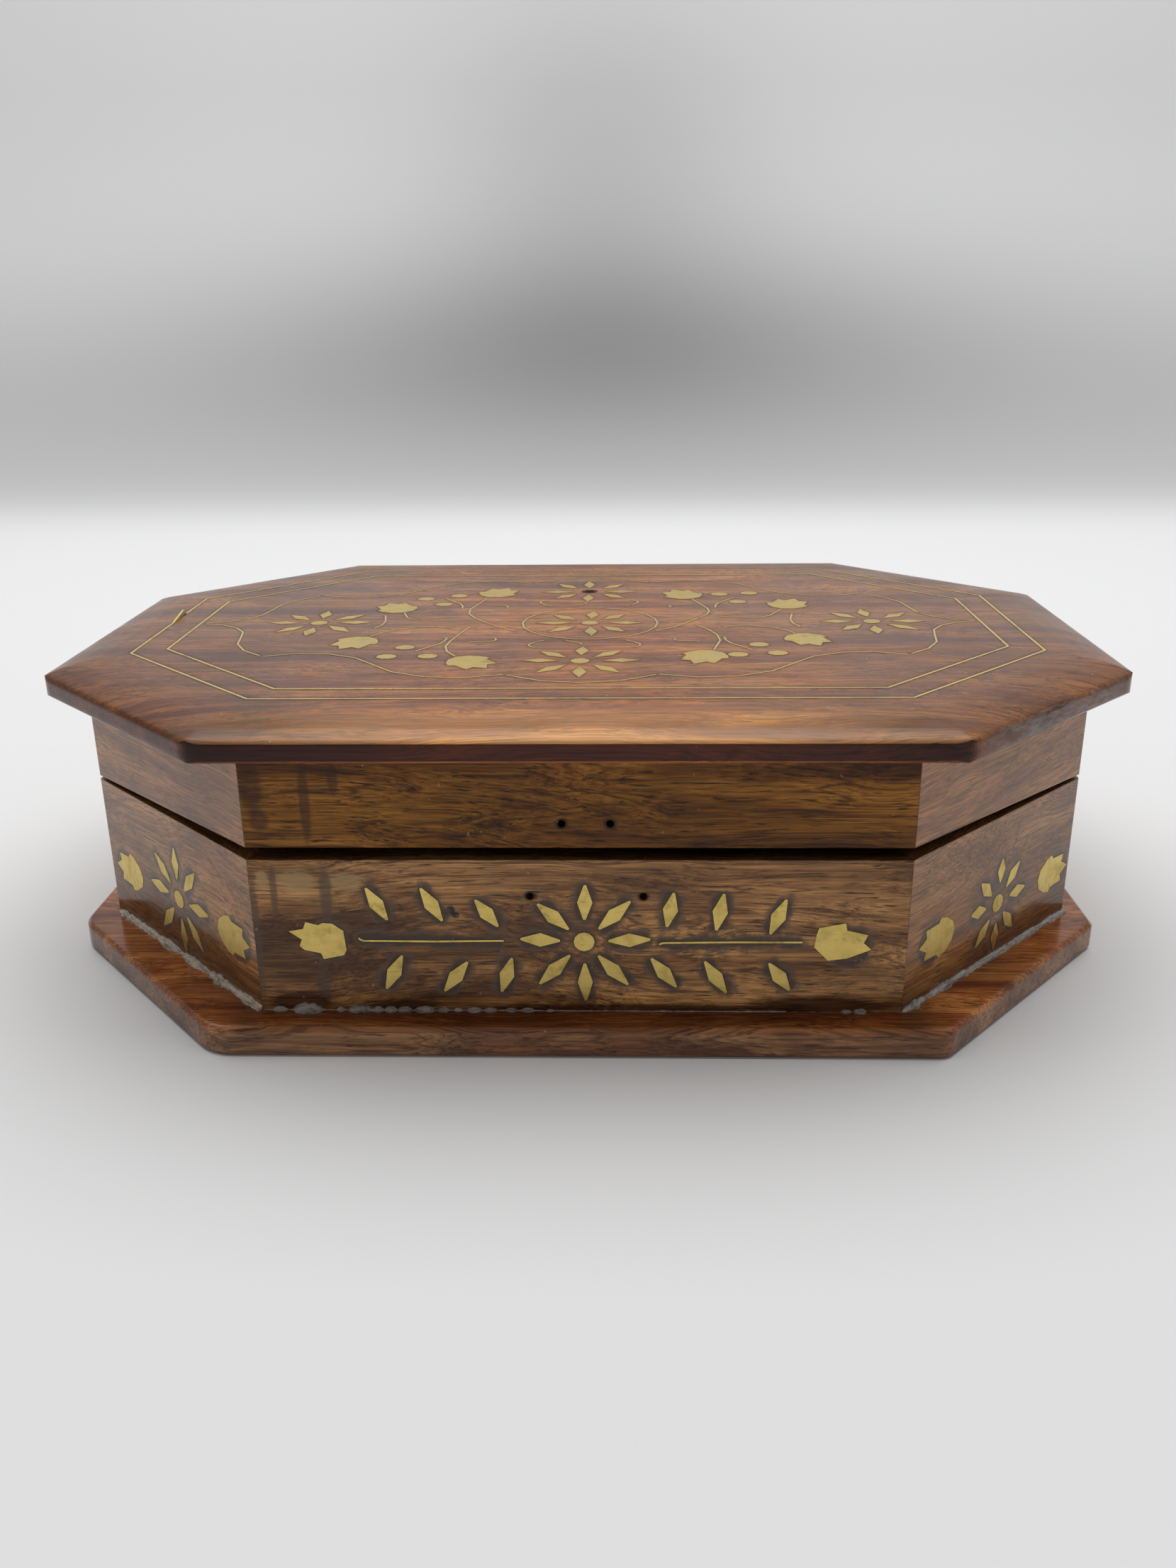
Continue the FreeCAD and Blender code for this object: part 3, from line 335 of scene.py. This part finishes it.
def wood(name, colours, turn_degrees, shift_mm, grain_length, paint, brass=(),
         gloss=(0.13, 0.26), varnish=0.5, flat_top=False, rounding_mm=0.5):
    """Varnished wood with its grain along a direction in plan.

    grain_length is how far a band of figure runs, paint a function of the shader and its colour
    that adds marks, brass the nodes let into the wood, gloss the range of roughness, varnish how
    much of the varnish is left to mirror; a flat_top keeps more of it on top than round its edge.
    rounding_mm is how far the light rolls over the arrises.
    """
    shader = Shader(name)
    turn = shader.add("ShaderNodeMapping")
    turn.inputs["Rotation"].default_value = (0, 0, -math.radians(turn_degrees))
    turn.inputs["Location"].default_value = shift_mm
    shader.put(turn.inputs["Vector"], shader.place)
    straight = turn.outputs["Vector"]

    # The grain wanders a few millimetres off its line
    slow = shader.noise(shader.vector("MULTIPLY", straight, (0.011, 0.035, 0.035)), 1.0, 2.0)
    sway = shader.math("MULTIPLY", shader.math("SUBTRACT", slow, 0.5), 24.0)
    aside = shader.add("ShaderNodeCombineXYZ")
    shader.put(aside.inputs["Y"], sway)
    shader.put(aside.inputs["Z"], sway)
    grain = shader.vector("ADD", straight, aside.outputs["Vector"])

    def streaks(length, width, detail, roughness):
        """Noise drawn out along the grain, by the millimetres it runs each way."""
        place = shader.vector("DIVIDE", grain, (length, width, width))
        return shader.noise(place, 1.0, detail, roughness)

    dark, middle, light = colours
    figure = streaks(grain_length, 8.5, 5.0, 0.62)
    colour = shader.ramp(figure, (0.37, dark), (0.49, middle), (0.63, light))
    line = shader.math("ABSOLUTE", shader.math("SUBTRACT", streaks(grain_length, 2.6, 2.0, 0.5), 0.5))
    colour = shader.mix(shader.spread(line, 0.05, 0.0, 0.0, 0.7), colour, dark)
    fibre = streaks(26.0, 0.36, 3.0, 0.7)
    colour = shader.vector("MULTIPLY", colour, shader.spread(fibre, 0.30, 0.70, 0.52, 1.42))
    pores = shader.spread(streaks(7.5, 0.42, 2.0, 0.6), 0.57, 0.68, 0.0, 0.85)
    colour = shader.mix(pores, colour, tuple(part * 0.45 for part in dark))
    cloud = shader.noise(shader.place, 0.045, 3.0, 0.55)
    colour = shader.vector("MULTIPLY", colour, shader.spread(cloud, 0.30, 0.70, 0.80, 1.18))
    colour = paint(shader, colour)
    if brass:
        # Filler smudged round the brass, darker close to it
        distance = brass_distance(shader, brass)
        wander = shader.math("SUBTRACT", shader.noise(shader.place, 0.33, 4.0, 0.65), 0.5)
        smudge = shader.spread(shader.math("MULTIPLY_ADD", wander, 5.0, distance), 1.8, 0.5, 0.0, 0.8)
        colour = shader.mix(smudge, colour, FILLER_COLOUR)
        ring = shader.spread(shader.math("MULTIPLY_ADD", wander, 2.2, distance), 0.8, 0.0, 0.0, 0.55)
        colour = shader.mix(ring, colour, tuple(part * 0.35 for part in FILLER_COLOUR))
        gap = shader.math("MULTIPLY", shader.edge_share(0.32), shader.spread(distance, 1.6, 1.2))
        colour = shader.mix(gap, colour, GAP_COLOUR)

    dust = shader.spread(shader.noise(shader.place, 0.9, 0.0), 0.86, 0.89, 0.0, 0.25)
    colour = shader.mix(dust, colour, DUST_COLOUR)

    rough = shader.spread(shader.noise(shader.place, 0.06, 4.0, 0.65), 0.3, 0.7, *gloss)
    rough = shader.math("MULTIPLY_ADD", dust, 0.5, rough)
    height = shader.math("MULTIPLY_ADD", pores, -0.8, shader.math("MULTIPLY", fibre, 0.4))
    waves = shader.noise(shader.vector("MULTIPLY", straight, (0.02, 0.09, 0.09)), 1.0, 2.0)
    normal = shader.bump(height, 0.04, 0.35, shader.soft_edges(rounding_mm))
    normal = shader.bump(waves, 0.30, 0.20, normal)
    mirror = varnish
    if flat_top:
        mirror = shader.spread(shader.facing("Z"), 0.35, 0.80, min(varnish, 0.25), varnish)
    return shader.finish(base_color=colour, roughness=rough, normal=normal, ior=1.5,
                         specular_ior_level=mirror)


def painted_seam_shade(shader, colour):
    """Painted shade on the level faces where rim and wall meet, as dark as the closed seam between them."""
    level = shader.spread(shader.math("ABSOLUTE", shader.facing("Z")), 0.7, 0.95, 0.0, 0.55)
    return shader.mix(level, colour, GAP_COLOUR)


def foot_shade(shader, colour):
    """Painted shade on the level faces where rim and wall meet, and painted shade that darkens the wall
    towards the foot.
    """
    foot = shader.spread(shader.axis(shader.place, "Z"), 8.0, 22.0, 0.55, 1.0)
    return painted_seam_shade(shader, shader.vector("MULTIPLY", colour, foot))


def rim_front_marks(shader, colour):
    """Dark runs of old stain near the left end, bruised edges of the two nail holes, and painted shade on
    the level face where the rim meets the wall.
    """
    colour = front_stains_and_shade(shader, colour, RIM_RUNS_MM, 4.0, RUN_COLOUR, 0.62, 0.12)
    colour = front_stains_and_shade(shader, colour, RIM_HOLES_MM, 3.0, GAP_COLOUR, 0.9, 0.35)
    return painted_seam_shade(shader, colour)


def front_marks(shader, colour):
    """Worn patches at the upper left, dark columns beside them, painted shade along the foot, knots, and
    painted shade on the level face where the wall meets the rim.
    """
    colour = front_stains_and_shade(shader, colour, WORN_PATCHES_MM, 3.0, WORN_COLOUR, 0.72, 0.8)
    colour = front_stains_and_shade(shader, colour, COLUMNS_MM, 3.0, COLUMN_COLOUR, 0.7, 0.3)
    # Painted shade along the foot, where the wall meets the base
    colour = front_stains_and_shade(shader, colour, FOOT_SHADE_MM, 3.0, FOOT_SHADE_COLOUR, 0.85, 0.45)
    colour = front_stains_and_shade(shader, colour, KNOTS_MM, 2.0, GAP_COLOUR, 0.95, 0.25)
    return painted_seam_shade(shader, colour)


def lid_marks(shader, colour):
    """Darker ends and a paler front bevel, partly the wood's own tone and partly painted shade and a
    painted reflection; painted shade on the edges all round, heaviest on the front; and rubbed grey at the
    right front corner.
    """
    x, y, z = (shader.axis(shader.place, name) for name in "XYZ")
    lean = shader.facing("Z")
    # Darker ends: partly the wood's own tone and partly painted shade
    ends = shader.spread(shader.math("ABSOLUTE", x), 20.0, 80.0, 1.0, 0.66)
    colour = shader.vector("MULTIPLY", colour, ends)
    # A paler front bevel: partly the wood's own tone and partly a painted reflection
    bevel = shader.math("MULTIPLY", shader.spread(y, -70.0, -86.0),
                        shader.spread(shader.math("ABSOLUTE", x), 95.0, 30.0))
    bevel_tone_and_reflection = shader.vector("MULTIPLY_ADD", colour, (1.2, 1.3, 1.4), (0.18, 0.125, 0.065))
    colour = shader.mix(bevel, colour, bevel_tone_and_reflection)
    # Painted shade on the lid's edges all round, heaviest on the front edge
    edge = shader.spread(lean, 0.80, 0.35)
    colour = shader.mix(edge, colour, shader.vector("MULTIPLY", colour, (0.75, 0.60, 0.70)))
    front_edge_shade = shader.math("MULTIPLY", edge, shader.spread(shader.facing("Y"), -0.75, -0.95))
    colour = shader.mix(front_edge_shade, colour, shader.vector("MULTIPLY", colour, (0.20, 0.12, 0.14)))
    scrape = shader.noise(shader.vector("MULTIPLY", shader.place, (0.13, 0.13, 0.8)), 1.0, 5.0, 0.7)
    rubbed = shader.math("MULTIPLY", shader.spread(x, 78.0, 90.0), shader.spread(y, -40.0, -55.0))
    rubbed = shader.math("MULTIPLY", rubbed, shader.spread(scrape, 0.40, 0.62))
    rubbed = shader.math("MULTIPLY", rubbed, shader.spread(lean, 0.95, 0.55, 0.0, 0.75))
    colour = shader.mix(rubbed, colour, RUBBED_COLOUR)
    # A faint darkening along the brass of the field, and the hole of the lost disc
    field = shader.math("MULTIPLY", shader.spread(z, 73.8, 73.95), shader.spread(lean, 0.90, 0.98))
    groove = shader.math("MULTIPLY", shader.edge_share(0.9), shader.math("MULTIPLY", field, 0.7))
    colour = shader.mix(groove, colour, GAP_COLOUR)
    return stain(shader, colour, LOST_DISC_MM, LOST_DISC_HALF_MM, GAP_COLOUR, 0.95, 0.1)


def base_marks(shader, colour):
    """Painted shade: a darker middle of the front and lighter wood elsewhere; and a paler, greyer edge all
    round, partly rubbed wood and partly a painted reflection.
    """
    # A paler, greyer tint for the edge: partly rubbed wood and partly a painted reflection
    rubbed = shader.vector("MULTIPLY", colour, (1.0, 1.3, 2.0))
    x, y = (shader.axis(shader.place, name) for name in "XY")
    # Painted shade: darker on the middle of the front, lighter elsewhere
    front = shader.math("MULTIPLY", shader.spread(shader.math("ABSOLUTE", x), 84.0, 70.0),
                        shader.spread(y, 0.0, -20.0))
    colour = shader.vector("MULTIPLY", colour, shader.spread(front, 0.0, 1.0, 1.55, 0.8))
    return shader.mix(shader.spread(shader.facing("Z"), 0.80, 0.35), colour, rubbed)


# Other materials


def brass(name, colour, roughness):
    """Filed brass: fine scratches two ways and a little tarnish."""
    shader = Shader(name)
    hair = shader.noise(shader.vector("DIVIDE", shader.place, (7.0, 7.0, 0.42)), 1.0, 4.0, 0.8)
    across = shader.noise(shader.vector("DIVIDE", shader.place, (9.0, 0.6, 9.0)), 1.0, 4.0, 0.8)
    scratch = shader.math("MAXIMUM", hair, across)
    cloud = shader.noise(shader.place, 0.25, 4.0, 0.6)
    tarnish = tuple(part * share for part, share in zip(colour, (0.50, 0.46, 0.40)))
    tint = shader.mix(shader.spread(cloud, 0.45, 0.75, 0.0, 0.45), colour, tarnish)
    tint = shader.mix(shader.spread(scratch, 0.54, 0.72, 0.0, 0.9), tint, tarnish)
    rough = shader.spread(cloud, 0.3, 0.7, roughness - 0.07, roughness + 0.10)
    return shader.finish(base_color=tint, metallic=1.0, roughness=rough,
                         normal=shader.bump(scratch, 0.03, 0.5))


def felt():
    """Dark red felt with a short nap and worn patches."""
    shader = Shader("felt")
    nap = shader.noise(shader.place, 2.2, 4.0, 0.75)
    patch = shader.noise(shader.place, 0.05, 3.0, 0.5)
    dark = tuple(part * 0.55 for part in FELT_COLOUR)
    tint = shader.mix(shader.spread(nap, 0.3, 0.7), dark, FELT_COLOUR)
    tint = shader.mix(shader.spread(patch, 0.35, 0.7, 0.0, 0.4), tint, dark)
    return shader.finish(base_color=tint, roughness=0.95, normal=shader.bump(nap, 0.25, 0.8),
                         sheen_weight=0.12, sheen_roughness=0.4)


def glue(name, clear, dusty, turn_degrees):
    """Old glue in a joint, from its clear colour to dusty, streaked along the joint."""
    shader = Shader(name)
    turn = shader.add("ShaderNodeMapping")
    turn.inputs["Rotation"].default_value = (0, 0, -math.radians(turn_degrees))
    shader.put(turn.inputs["Vector"], shader.place)
    drawn_out = shader.vector("DIVIDE", turn.outputs["Vector"], (5.0, 0.7, 0.7))
    streak = shader.noise(drawn_out, 1.0, 4.0, 0.7)
    tint = shader.ramp(streak, (0.34, clear), (0.62, dusty))
    rough = shader.spread(streak, 0.35, 0.65, 0.12, 0.45)
    grit = shader.noise(shader.place, 1.3, 4.0, 0.7)
    return shader.finish(base_color=tint, roughness=rough, normal=shader.bump(grit, 0.25, 0.7))


# Pieces that only the looks have


def add_piece(name, mesh, material, body):
    """Make a smooth object of a mesh in millimetres and the body it rides on."""
    data = bpy.data.meshes.new(name)
    bmesh.ops.recalc_face_normals(mesh, faces=mesh.faces)
    mesh.to_mesh(data)
    mesh.free()
    data.transform(Matrix.Scale(MM, 4))
    for face in data.polygons:
        face.use_smooth = True
    data.materials.append(material)
    piece = bpy.data.objects.new(name, data)
    bpy.context.scene.collection.objects.link(piece)
    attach(piece, body)
    return piece


def board_foot(board):
    """The ends of a lower board's foot on its outer face, and the way out of the box, in millimetres."""
    turn = Matrix.Rotation(math.radians(TURN_DEGREES[board]), 3, "Z")
    corners = nodes["lower_" + board].data.vertices
    points = [turn.transposed() @ (vertex.co / MM) for vertex in corners]
    outer = min(point.y for point in points)
    low = min(point.z for point in points)
    ends = [point.x for point in points if point.y < outer + 0.01]
    feet = [turn @ Vector((x, outer, low)) for x in (min(ends), max(ends))]
    return feet, turn @ Vector((0, -1, 0))


def bead(board, material, thickness):
    """Glue squeezed out along the foot of a board; thickness is a function of the way along in mm."""
    (start, end), out = board_foot(board)
    along = (end - start).normalized()
    length = (end - start).length
    step_mm, sides, bury, least = 0.3, 6, 0.15, 0.05
    count = round(length / step_mm)
    mesh = bmesh.new()
    rows = []
    for index in range(count + 1):
        run = length * index / count
        thick = max(thickness(run), least)
        corner = start + along * run
        row = [corner - out * bury - Vector((0, 0, bury))]
        for side in range(sides + 1):
            angle = math.radians(90.0 * side / sides)
            reach = thick * (1 + 0.22 * noise.noise(Vector((run * 0.9, side * 0.8, thick))))
            row.append(corner + out * (reach * math.cos(angle) - bury * math.sin(angle))
                       + Vector((0, 0, reach * 0.85 * math.sin(angle) - bury * math.cos(angle))))
        rows.append([mesh.verts.new(point) for point in row])
    for first, second in zip(rows, rows[1:]):
        for side in range(len(first)):
            after = (side + 1) % len(first)
            mesh.faces.new((first[side], first[after], second[after], second[side]))
    mesh.faces.new(rows[0])
    mesh.faces.new(rows[-1][::-1])
    return add_piece("glue_" + board, mesh, material, "box")


def lumpy(thick, seed, fade=6.0):
    """The thickness of a bead that swells and thins along its way and is thin where it starts."""
    def thickness(run):
        swell = noise.noise(Vector((run * 0.16, seed, 0.0)))
        swell += 0.5 * noise.noise(Vector((run * 0.6, seed, 4.0)))
        return thick * (0.72 + 0.55 * swell) * min(1.0, 0.35 + run / fade)
    return thickness


def droplets(run):
    """A thin line of glue with clear drops, large at the left end and smaller to the right."""
    thick = 0.30 + 0.14 * noise.noise(Vector((run * 0.8, 9.0, 0.0)))
    if run > DROPS_END_MM:
        thick *= 0.6
    for centre, half, rise in DROPS_MM:
        share = 1 - ((run - centre) / half) ** 2
        if share > 0:
            thick = max(thick, rise * math.sqrt(share))
    return thick


def add_glue():
    """A bead of glue along each lower board: drops on the front, lumps on the others."""
    bead("front", glue("glue_front", *FRONT_GLUE, TURN_DEGREES["front"]), droplets)
    for index, board in enumerate(BOARDS[1:], start=1):
        kinds = {"front_left": LEFT_GLUE, "front_right": RIGHT_GLUE}
        clear, dusty, thick = kinds.get(board, OTHER_GLUE)
        bead(board, glue("glue_" + board, clear, dusty, TURN_DEGREES[board]), lumpy(thick, index))


def add_felt():
    """The felt floor: a thin sheet with a soft edge that lies on the base plate."""
    low, high = (Vector(corner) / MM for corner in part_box("floor_lining"))
    points = [vertex.co / MM for vertex in nodes["floor_lining"].data.vertices]
    leg = high.x - max(point.x for point in points if abs(point.y - high.y) < 0.01)
    x, y = high.x, high.y
    corners = [(leg - x, -y), (x - leg, -y), (x, leg - y), (x, y - leg)]
    corners += [(-a, -b) for a, b in corners]
    rings, splits, edge_mm, thick = 24, 10, 0.35, high.z - low.z
    shares = [index / rings for index in range(1, rings)] + [1.0 - edge_mm / x, 1.0]
    mesh = bmesh.new()
    middle = mesh.verts.new((0, 0, low.z + thick * 0.93))
    rows = []
    for share in shares:
        row = []
        for (ax, ay), (bx, by) in zip(corners, corners[1:] + corners[:1]):
            for split in range(splits):
                part = split / splits
                px, py = (ax + (bx - ax) * part) * share, (ay + (by - ay) * part) * share
                ripple = noise.noise(Vector((px, py, 0)) * 0.045)
                ripple += 0.5 * noise.noise(Vector((px, py, 5)) * 0.16)
                level = thick * (0.90 + 0.06 * ripple) if share < 1.0 else thick * 0.45
                row.append(mesh.verts.new((px, py, low.z + level)))
        rows.append(row)
    count = len(rows[0])
    for index in range(count):
        mesh.faces.new((middle, rows[0][index], rows[0][(index + 1) % count]))
    for inner, outer in zip(rows, rows[1:]):
        for index in range(count):
            after = (index + 1) % count
            mesh.faces.new((inner[index], outer[index], outer[after], inner[after]))
    piece = add_piece("felt_floor", mesh, felt(), "box")
    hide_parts("floor_lining")


def add_nails(leaf, body, material, facing):
    """Three nail heads on a hinge leaf's plate, hammered nearly flush; facing is +1 up, -1 down."""
    low, high = (Vector(corner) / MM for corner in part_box(leaf))
    vertices = nodes[leaf].data.vertices
    flats = [vertex.co.z / MM for vertex in vertices if vertex.co.y / MM < low.y + 0.01]
    level = max(flats) if facing > 0 else min(flats)
    radius, dome, sides = 1.15, 0.09, 14
    mesh = bmesh.new()
    # Share of the leaf's length, and millimetres in from its free edge
    for share, inset in ((0.16, 4.1), (0.5, 2.9), (0.84, 4.1)):
        x, y = low.x + (high.x - low.x) * share, low.y + inset
        rows = []
        for reach, rise in ((1.0, -0.25), (1.0, 0.35), (0.86, 0.8), (0.5, 1.0)):
            row = []
            for side in range(sides):
                angle = math.tau * side / sides
                dent = 1 + 0.07 * noise.noise(Vector((x + math.cos(angle), y + math.sin(angle), facing)))
                row.append(mesh.verts.new((x + radius * reach * dent * math.cos(angle),
                                           y + radius * reach * dent * math.sin(angle),
                                           level + facing * dome * rise)))
            rows.append(row)
        for first, second in zip(rows, rows[1:]):
            for side in range(sides):
                after = (side + 1) % sides
                mesh.faces.new((first[side], first[after], second[after], second[side]))
        mesh.faces.new(rows[0][::-1])
        mesh.faces.new(rows[-1])
    return add_piece(leaf + "_nails", mesh, material, body)


# Camera, floor and light


def add_camera():
    pitch, yaw, roll = (math.radians(turn) for turn in (PITCH_DEGREES, YAW_DEGREES, ROLL_DEGREES))
    ahead = Vector((math.sin(yaw) * math.cos(pitch), math.cos(yaw) * math.cos(pitch), math.sin(pitch)))
    level = Vector((math.cos(yaw), -math.sin(yaw), 0.0))
    upright = level.cross(ahead)
    right = level * math.cos(roll) + upright * math.sin(roll)
    up = upright * math.cos(roll) - level * math.sin(roll)
    data = bpy.data.cameras.new("photo_camera")
    data.sensor_fit = "VERTICAL"
    data.lens = data.sensor_height * FOCAL_PX / PHOTO_HEIGHT_PX
    data.clip_start = 0.01
    camera = bpy.data.objects.new("photo_camera", data)
    turn = Matrix((right, up, -ahead)).transposed().to_4x4()
    camera.matrix_world = Matrix.Translation(Vector(CAMERA_MM) * MM) @ turn
    bpy.context.scene.collection.objects.link(camera)
    bpy.context.scene.camera = camera


def sweep_material():
    """Pale paper with a grey patch of painted shade behind the box."""
    shader = Shader("studio_paper")
    x, y, z = (shader.axis(shader.place, name) for name in "XYZ")

    def cloud(centre_x, centre_z, half_x, half_z, depth):
        """A soft patch of painted shade that fades out all round."""
        reach_x = shader.math("DIVIDE", shader.math("SUBTRACT", x, centre_x), half_x)
        reach_z = shader.math("DIVIDE", shader.math("SUBTRACT", z, centre_z), half_z)
        square = shader.math("MULTIPLY", reach_z, reach_z)
        square = shader.math("MULTIPLY_ADD", reach_x, reach_x, square)
        fall = shader.math("POWER", math.e, shader.math("MULTIPLY", square, -1.0))
        return shader.math("MULTIPLY", fall, depth)

    wide = cloud(-10.0, 125.0, 430.0, 100.0, 0.50)
    tall = cloud(-15.0, 280.0, 170.0, 160.0, 0.34)
    low = cloud(0.0, 40.0, 2000.0, 120.0, 0.48)
    share = shader.math("ADD", shader.math("ADD", wide, tall), low)
    share = shader.math("MULTIPLY", share, shader.spread(y, 560.0, 860.0), clamp=True)
    tone = shader.mix(share, PAPER_COLOUR, BACKDROP_SHADE_COLOUR)
    return shader.finish(base_color=tone, roughness=0.9, specular_ior_level=0.0)


def add_sweep():
    """A seamless floor and backdrop."""
    front, bend, radius, height, half_width = -2.0, 0.75, 0.35, 2.2, 2.5
    profile = [(front, 0.0), (bend, 0.0)]
    steps = 12
    for step in range(1, steps + 1):
        angle = math.radians(90.0 * step / steps)
        profile.append((bend + radius * math.sin(angle), radius - radius * math.cos(angle)))
    profile.append((bend + radius, height))
    mesh = bmesh.new()
    rows = [[mesh.verts.new((x, y, z)) for x in (-half_width, half_width)] for y, z in profile]
    for low, high in zip(rows, rows[1:]):
        mesh.faces.new((low[0], low[1], high[1], high[0]))
    data = bpy.data.meshes.new("studio_sweep")
    mesh.to_mesh(data)
    mesh.free()
    for face in data.polygons:
        face.use_smooth = True
    data.materials.append(sweep_material())
    sweep = bpy.data.objects.new("studio_sweep", data)
    bpy.context.scene.collection.objects.link(sweep)


def add_lights():
    """One large soft lamp overhead, and even light from all round."""
    data = bpy.data.lights.new("top_softbox", "AREA")
    data.shape = "RECTANGLE"
    data.size, data.size_y = LAMP_SIZE
    data.energy = LAMP_WATTS
    lamp = bpy.data.objects.new("top_softbox", data)
    lamp.location = LAMP_PLACE
    ahead = Vector(LAMP_TARGET) - Vector(LAMP_PLACE)
    lamp.rotation_euler = ahead.to_track_quat("-Z", "Y").to_euler()
    bpy.context.scene.collection.objects.link(lamp)
    world = bpy.data.worlds.new("studio")
    world.use_nodes = True
    background = world.node_tree.nodes["Background"]
    background.inputs["Color"].default_value = (*SKY_COLOUR, 1.0)
    background.inputs["Strength"].default_value = SKY_STRENGTH
    bpy.context.scene.world = world


# Materials of the CAD nodes


def dress(name, material):
    """Give a CAD node its material and nothing else."""
    data = nodes[name].data
    data.materials.clear()
    data.materials.append(material)


def dress_boards():
    """Wood for every board, each with its own stretch of grain."""
    for index, board in enumerate(BOARDS):
        turn = TURN_DEGREES[board]
        inlaid = [board + "_" + kind for kind in ("flower", "leaves", "tulips", "stems")]
        inlaid = [name for name in inlaid if name in nodes]
        wall_shift = (37.0 * index, 61.0, 13.0 * index)
        rim_shift = (53.0 * index + 20.0, 17.0, 29.0 * index)
        if board == "front":
            wall = wood("wall_front", WALL_COLOURS, turn, wall_shift, WALL_GRAIN_MM, front_marks, inlaid,
                        varnish=0.3)
            rim = wood("rim_front", RIM_COLOURS, turn, rim_shift, RIM_GRAIN_MM, rim_front_marks,
                       varnish=0.2)
        else:
            wall = wood("wall_" + board, DIAGONAL_COLOURS, turn, wall_shift, WALL_GRAIN_MM, foot_shade,
                        inlaid, gloss=(0.10, 0.20))
            # Diagonal rims: painted shade on the level faces of the seam
            rim = wood("rim_" + board, DIAGONAL_RIM_COLOURS, turn, rim_shift, RIM_GRAIN_MM, painted_seam_shade,
                       gloss=(0.10, 0.20))
        dress("lower_" + board, wall)
        dress("rim_" + board, rim)
    lid = wood("lid", LID_COLOURS, 0.0, (0.0, 140.0, 0.0), LID_GRAIN_MM, lid_marks,
               varnish=0.26, flat_top=True, rounding_mm=1.8)
    dress("lid_board", lid)
    base = wood("base", BASE_COLOURS, 0.0, (210.0, 30.0, 90.0), BASE_GRAIN_MM, base_marks, rounding_mm=1.0)
    dress("base_plate", base)


def dress_brass():
    """Brass for the inlay, the wires of the lid and the hinges, with the hinges' nails."""
    inlay_brass = brass("inlay_brass", BRASS_COLOUR, 0.34)
    wire_brass = brass("wire_brass", WIRE_COLOUR, 0.30)
    hinge_brass = brass("hinge_brass", HINGE_COLOUR, 0.42)
    wires = ("lid_border_outer", "lid_border_inner", "lid_cartouche", "lid_scrolls")
    for row in frame["record"]["subparts"]:
        if row["node"] in wires:
            dress(row["node"], wire_brass)
        elif row["material_slot"] == "inlay_brass":
            dress(row["node"], inlay_brass)
        elif row["material_slot"] == "hinge_brass":
            dress(row["node"], hinge_brass)
    for side in ("left", "right"):
        add_nails(side + "_hinge_box_leaf", "box", hinge_brass, 1)
        add_nails(side + "_hinge_lid_leaf", "lid", hinge_brass, -1)


add_camera()
add_sweep()
add_lights()
bpy.context.scene.view_settings.view_transform = "Standard"
dress_boards()
dress_brass()
add_glue()
add_felt()
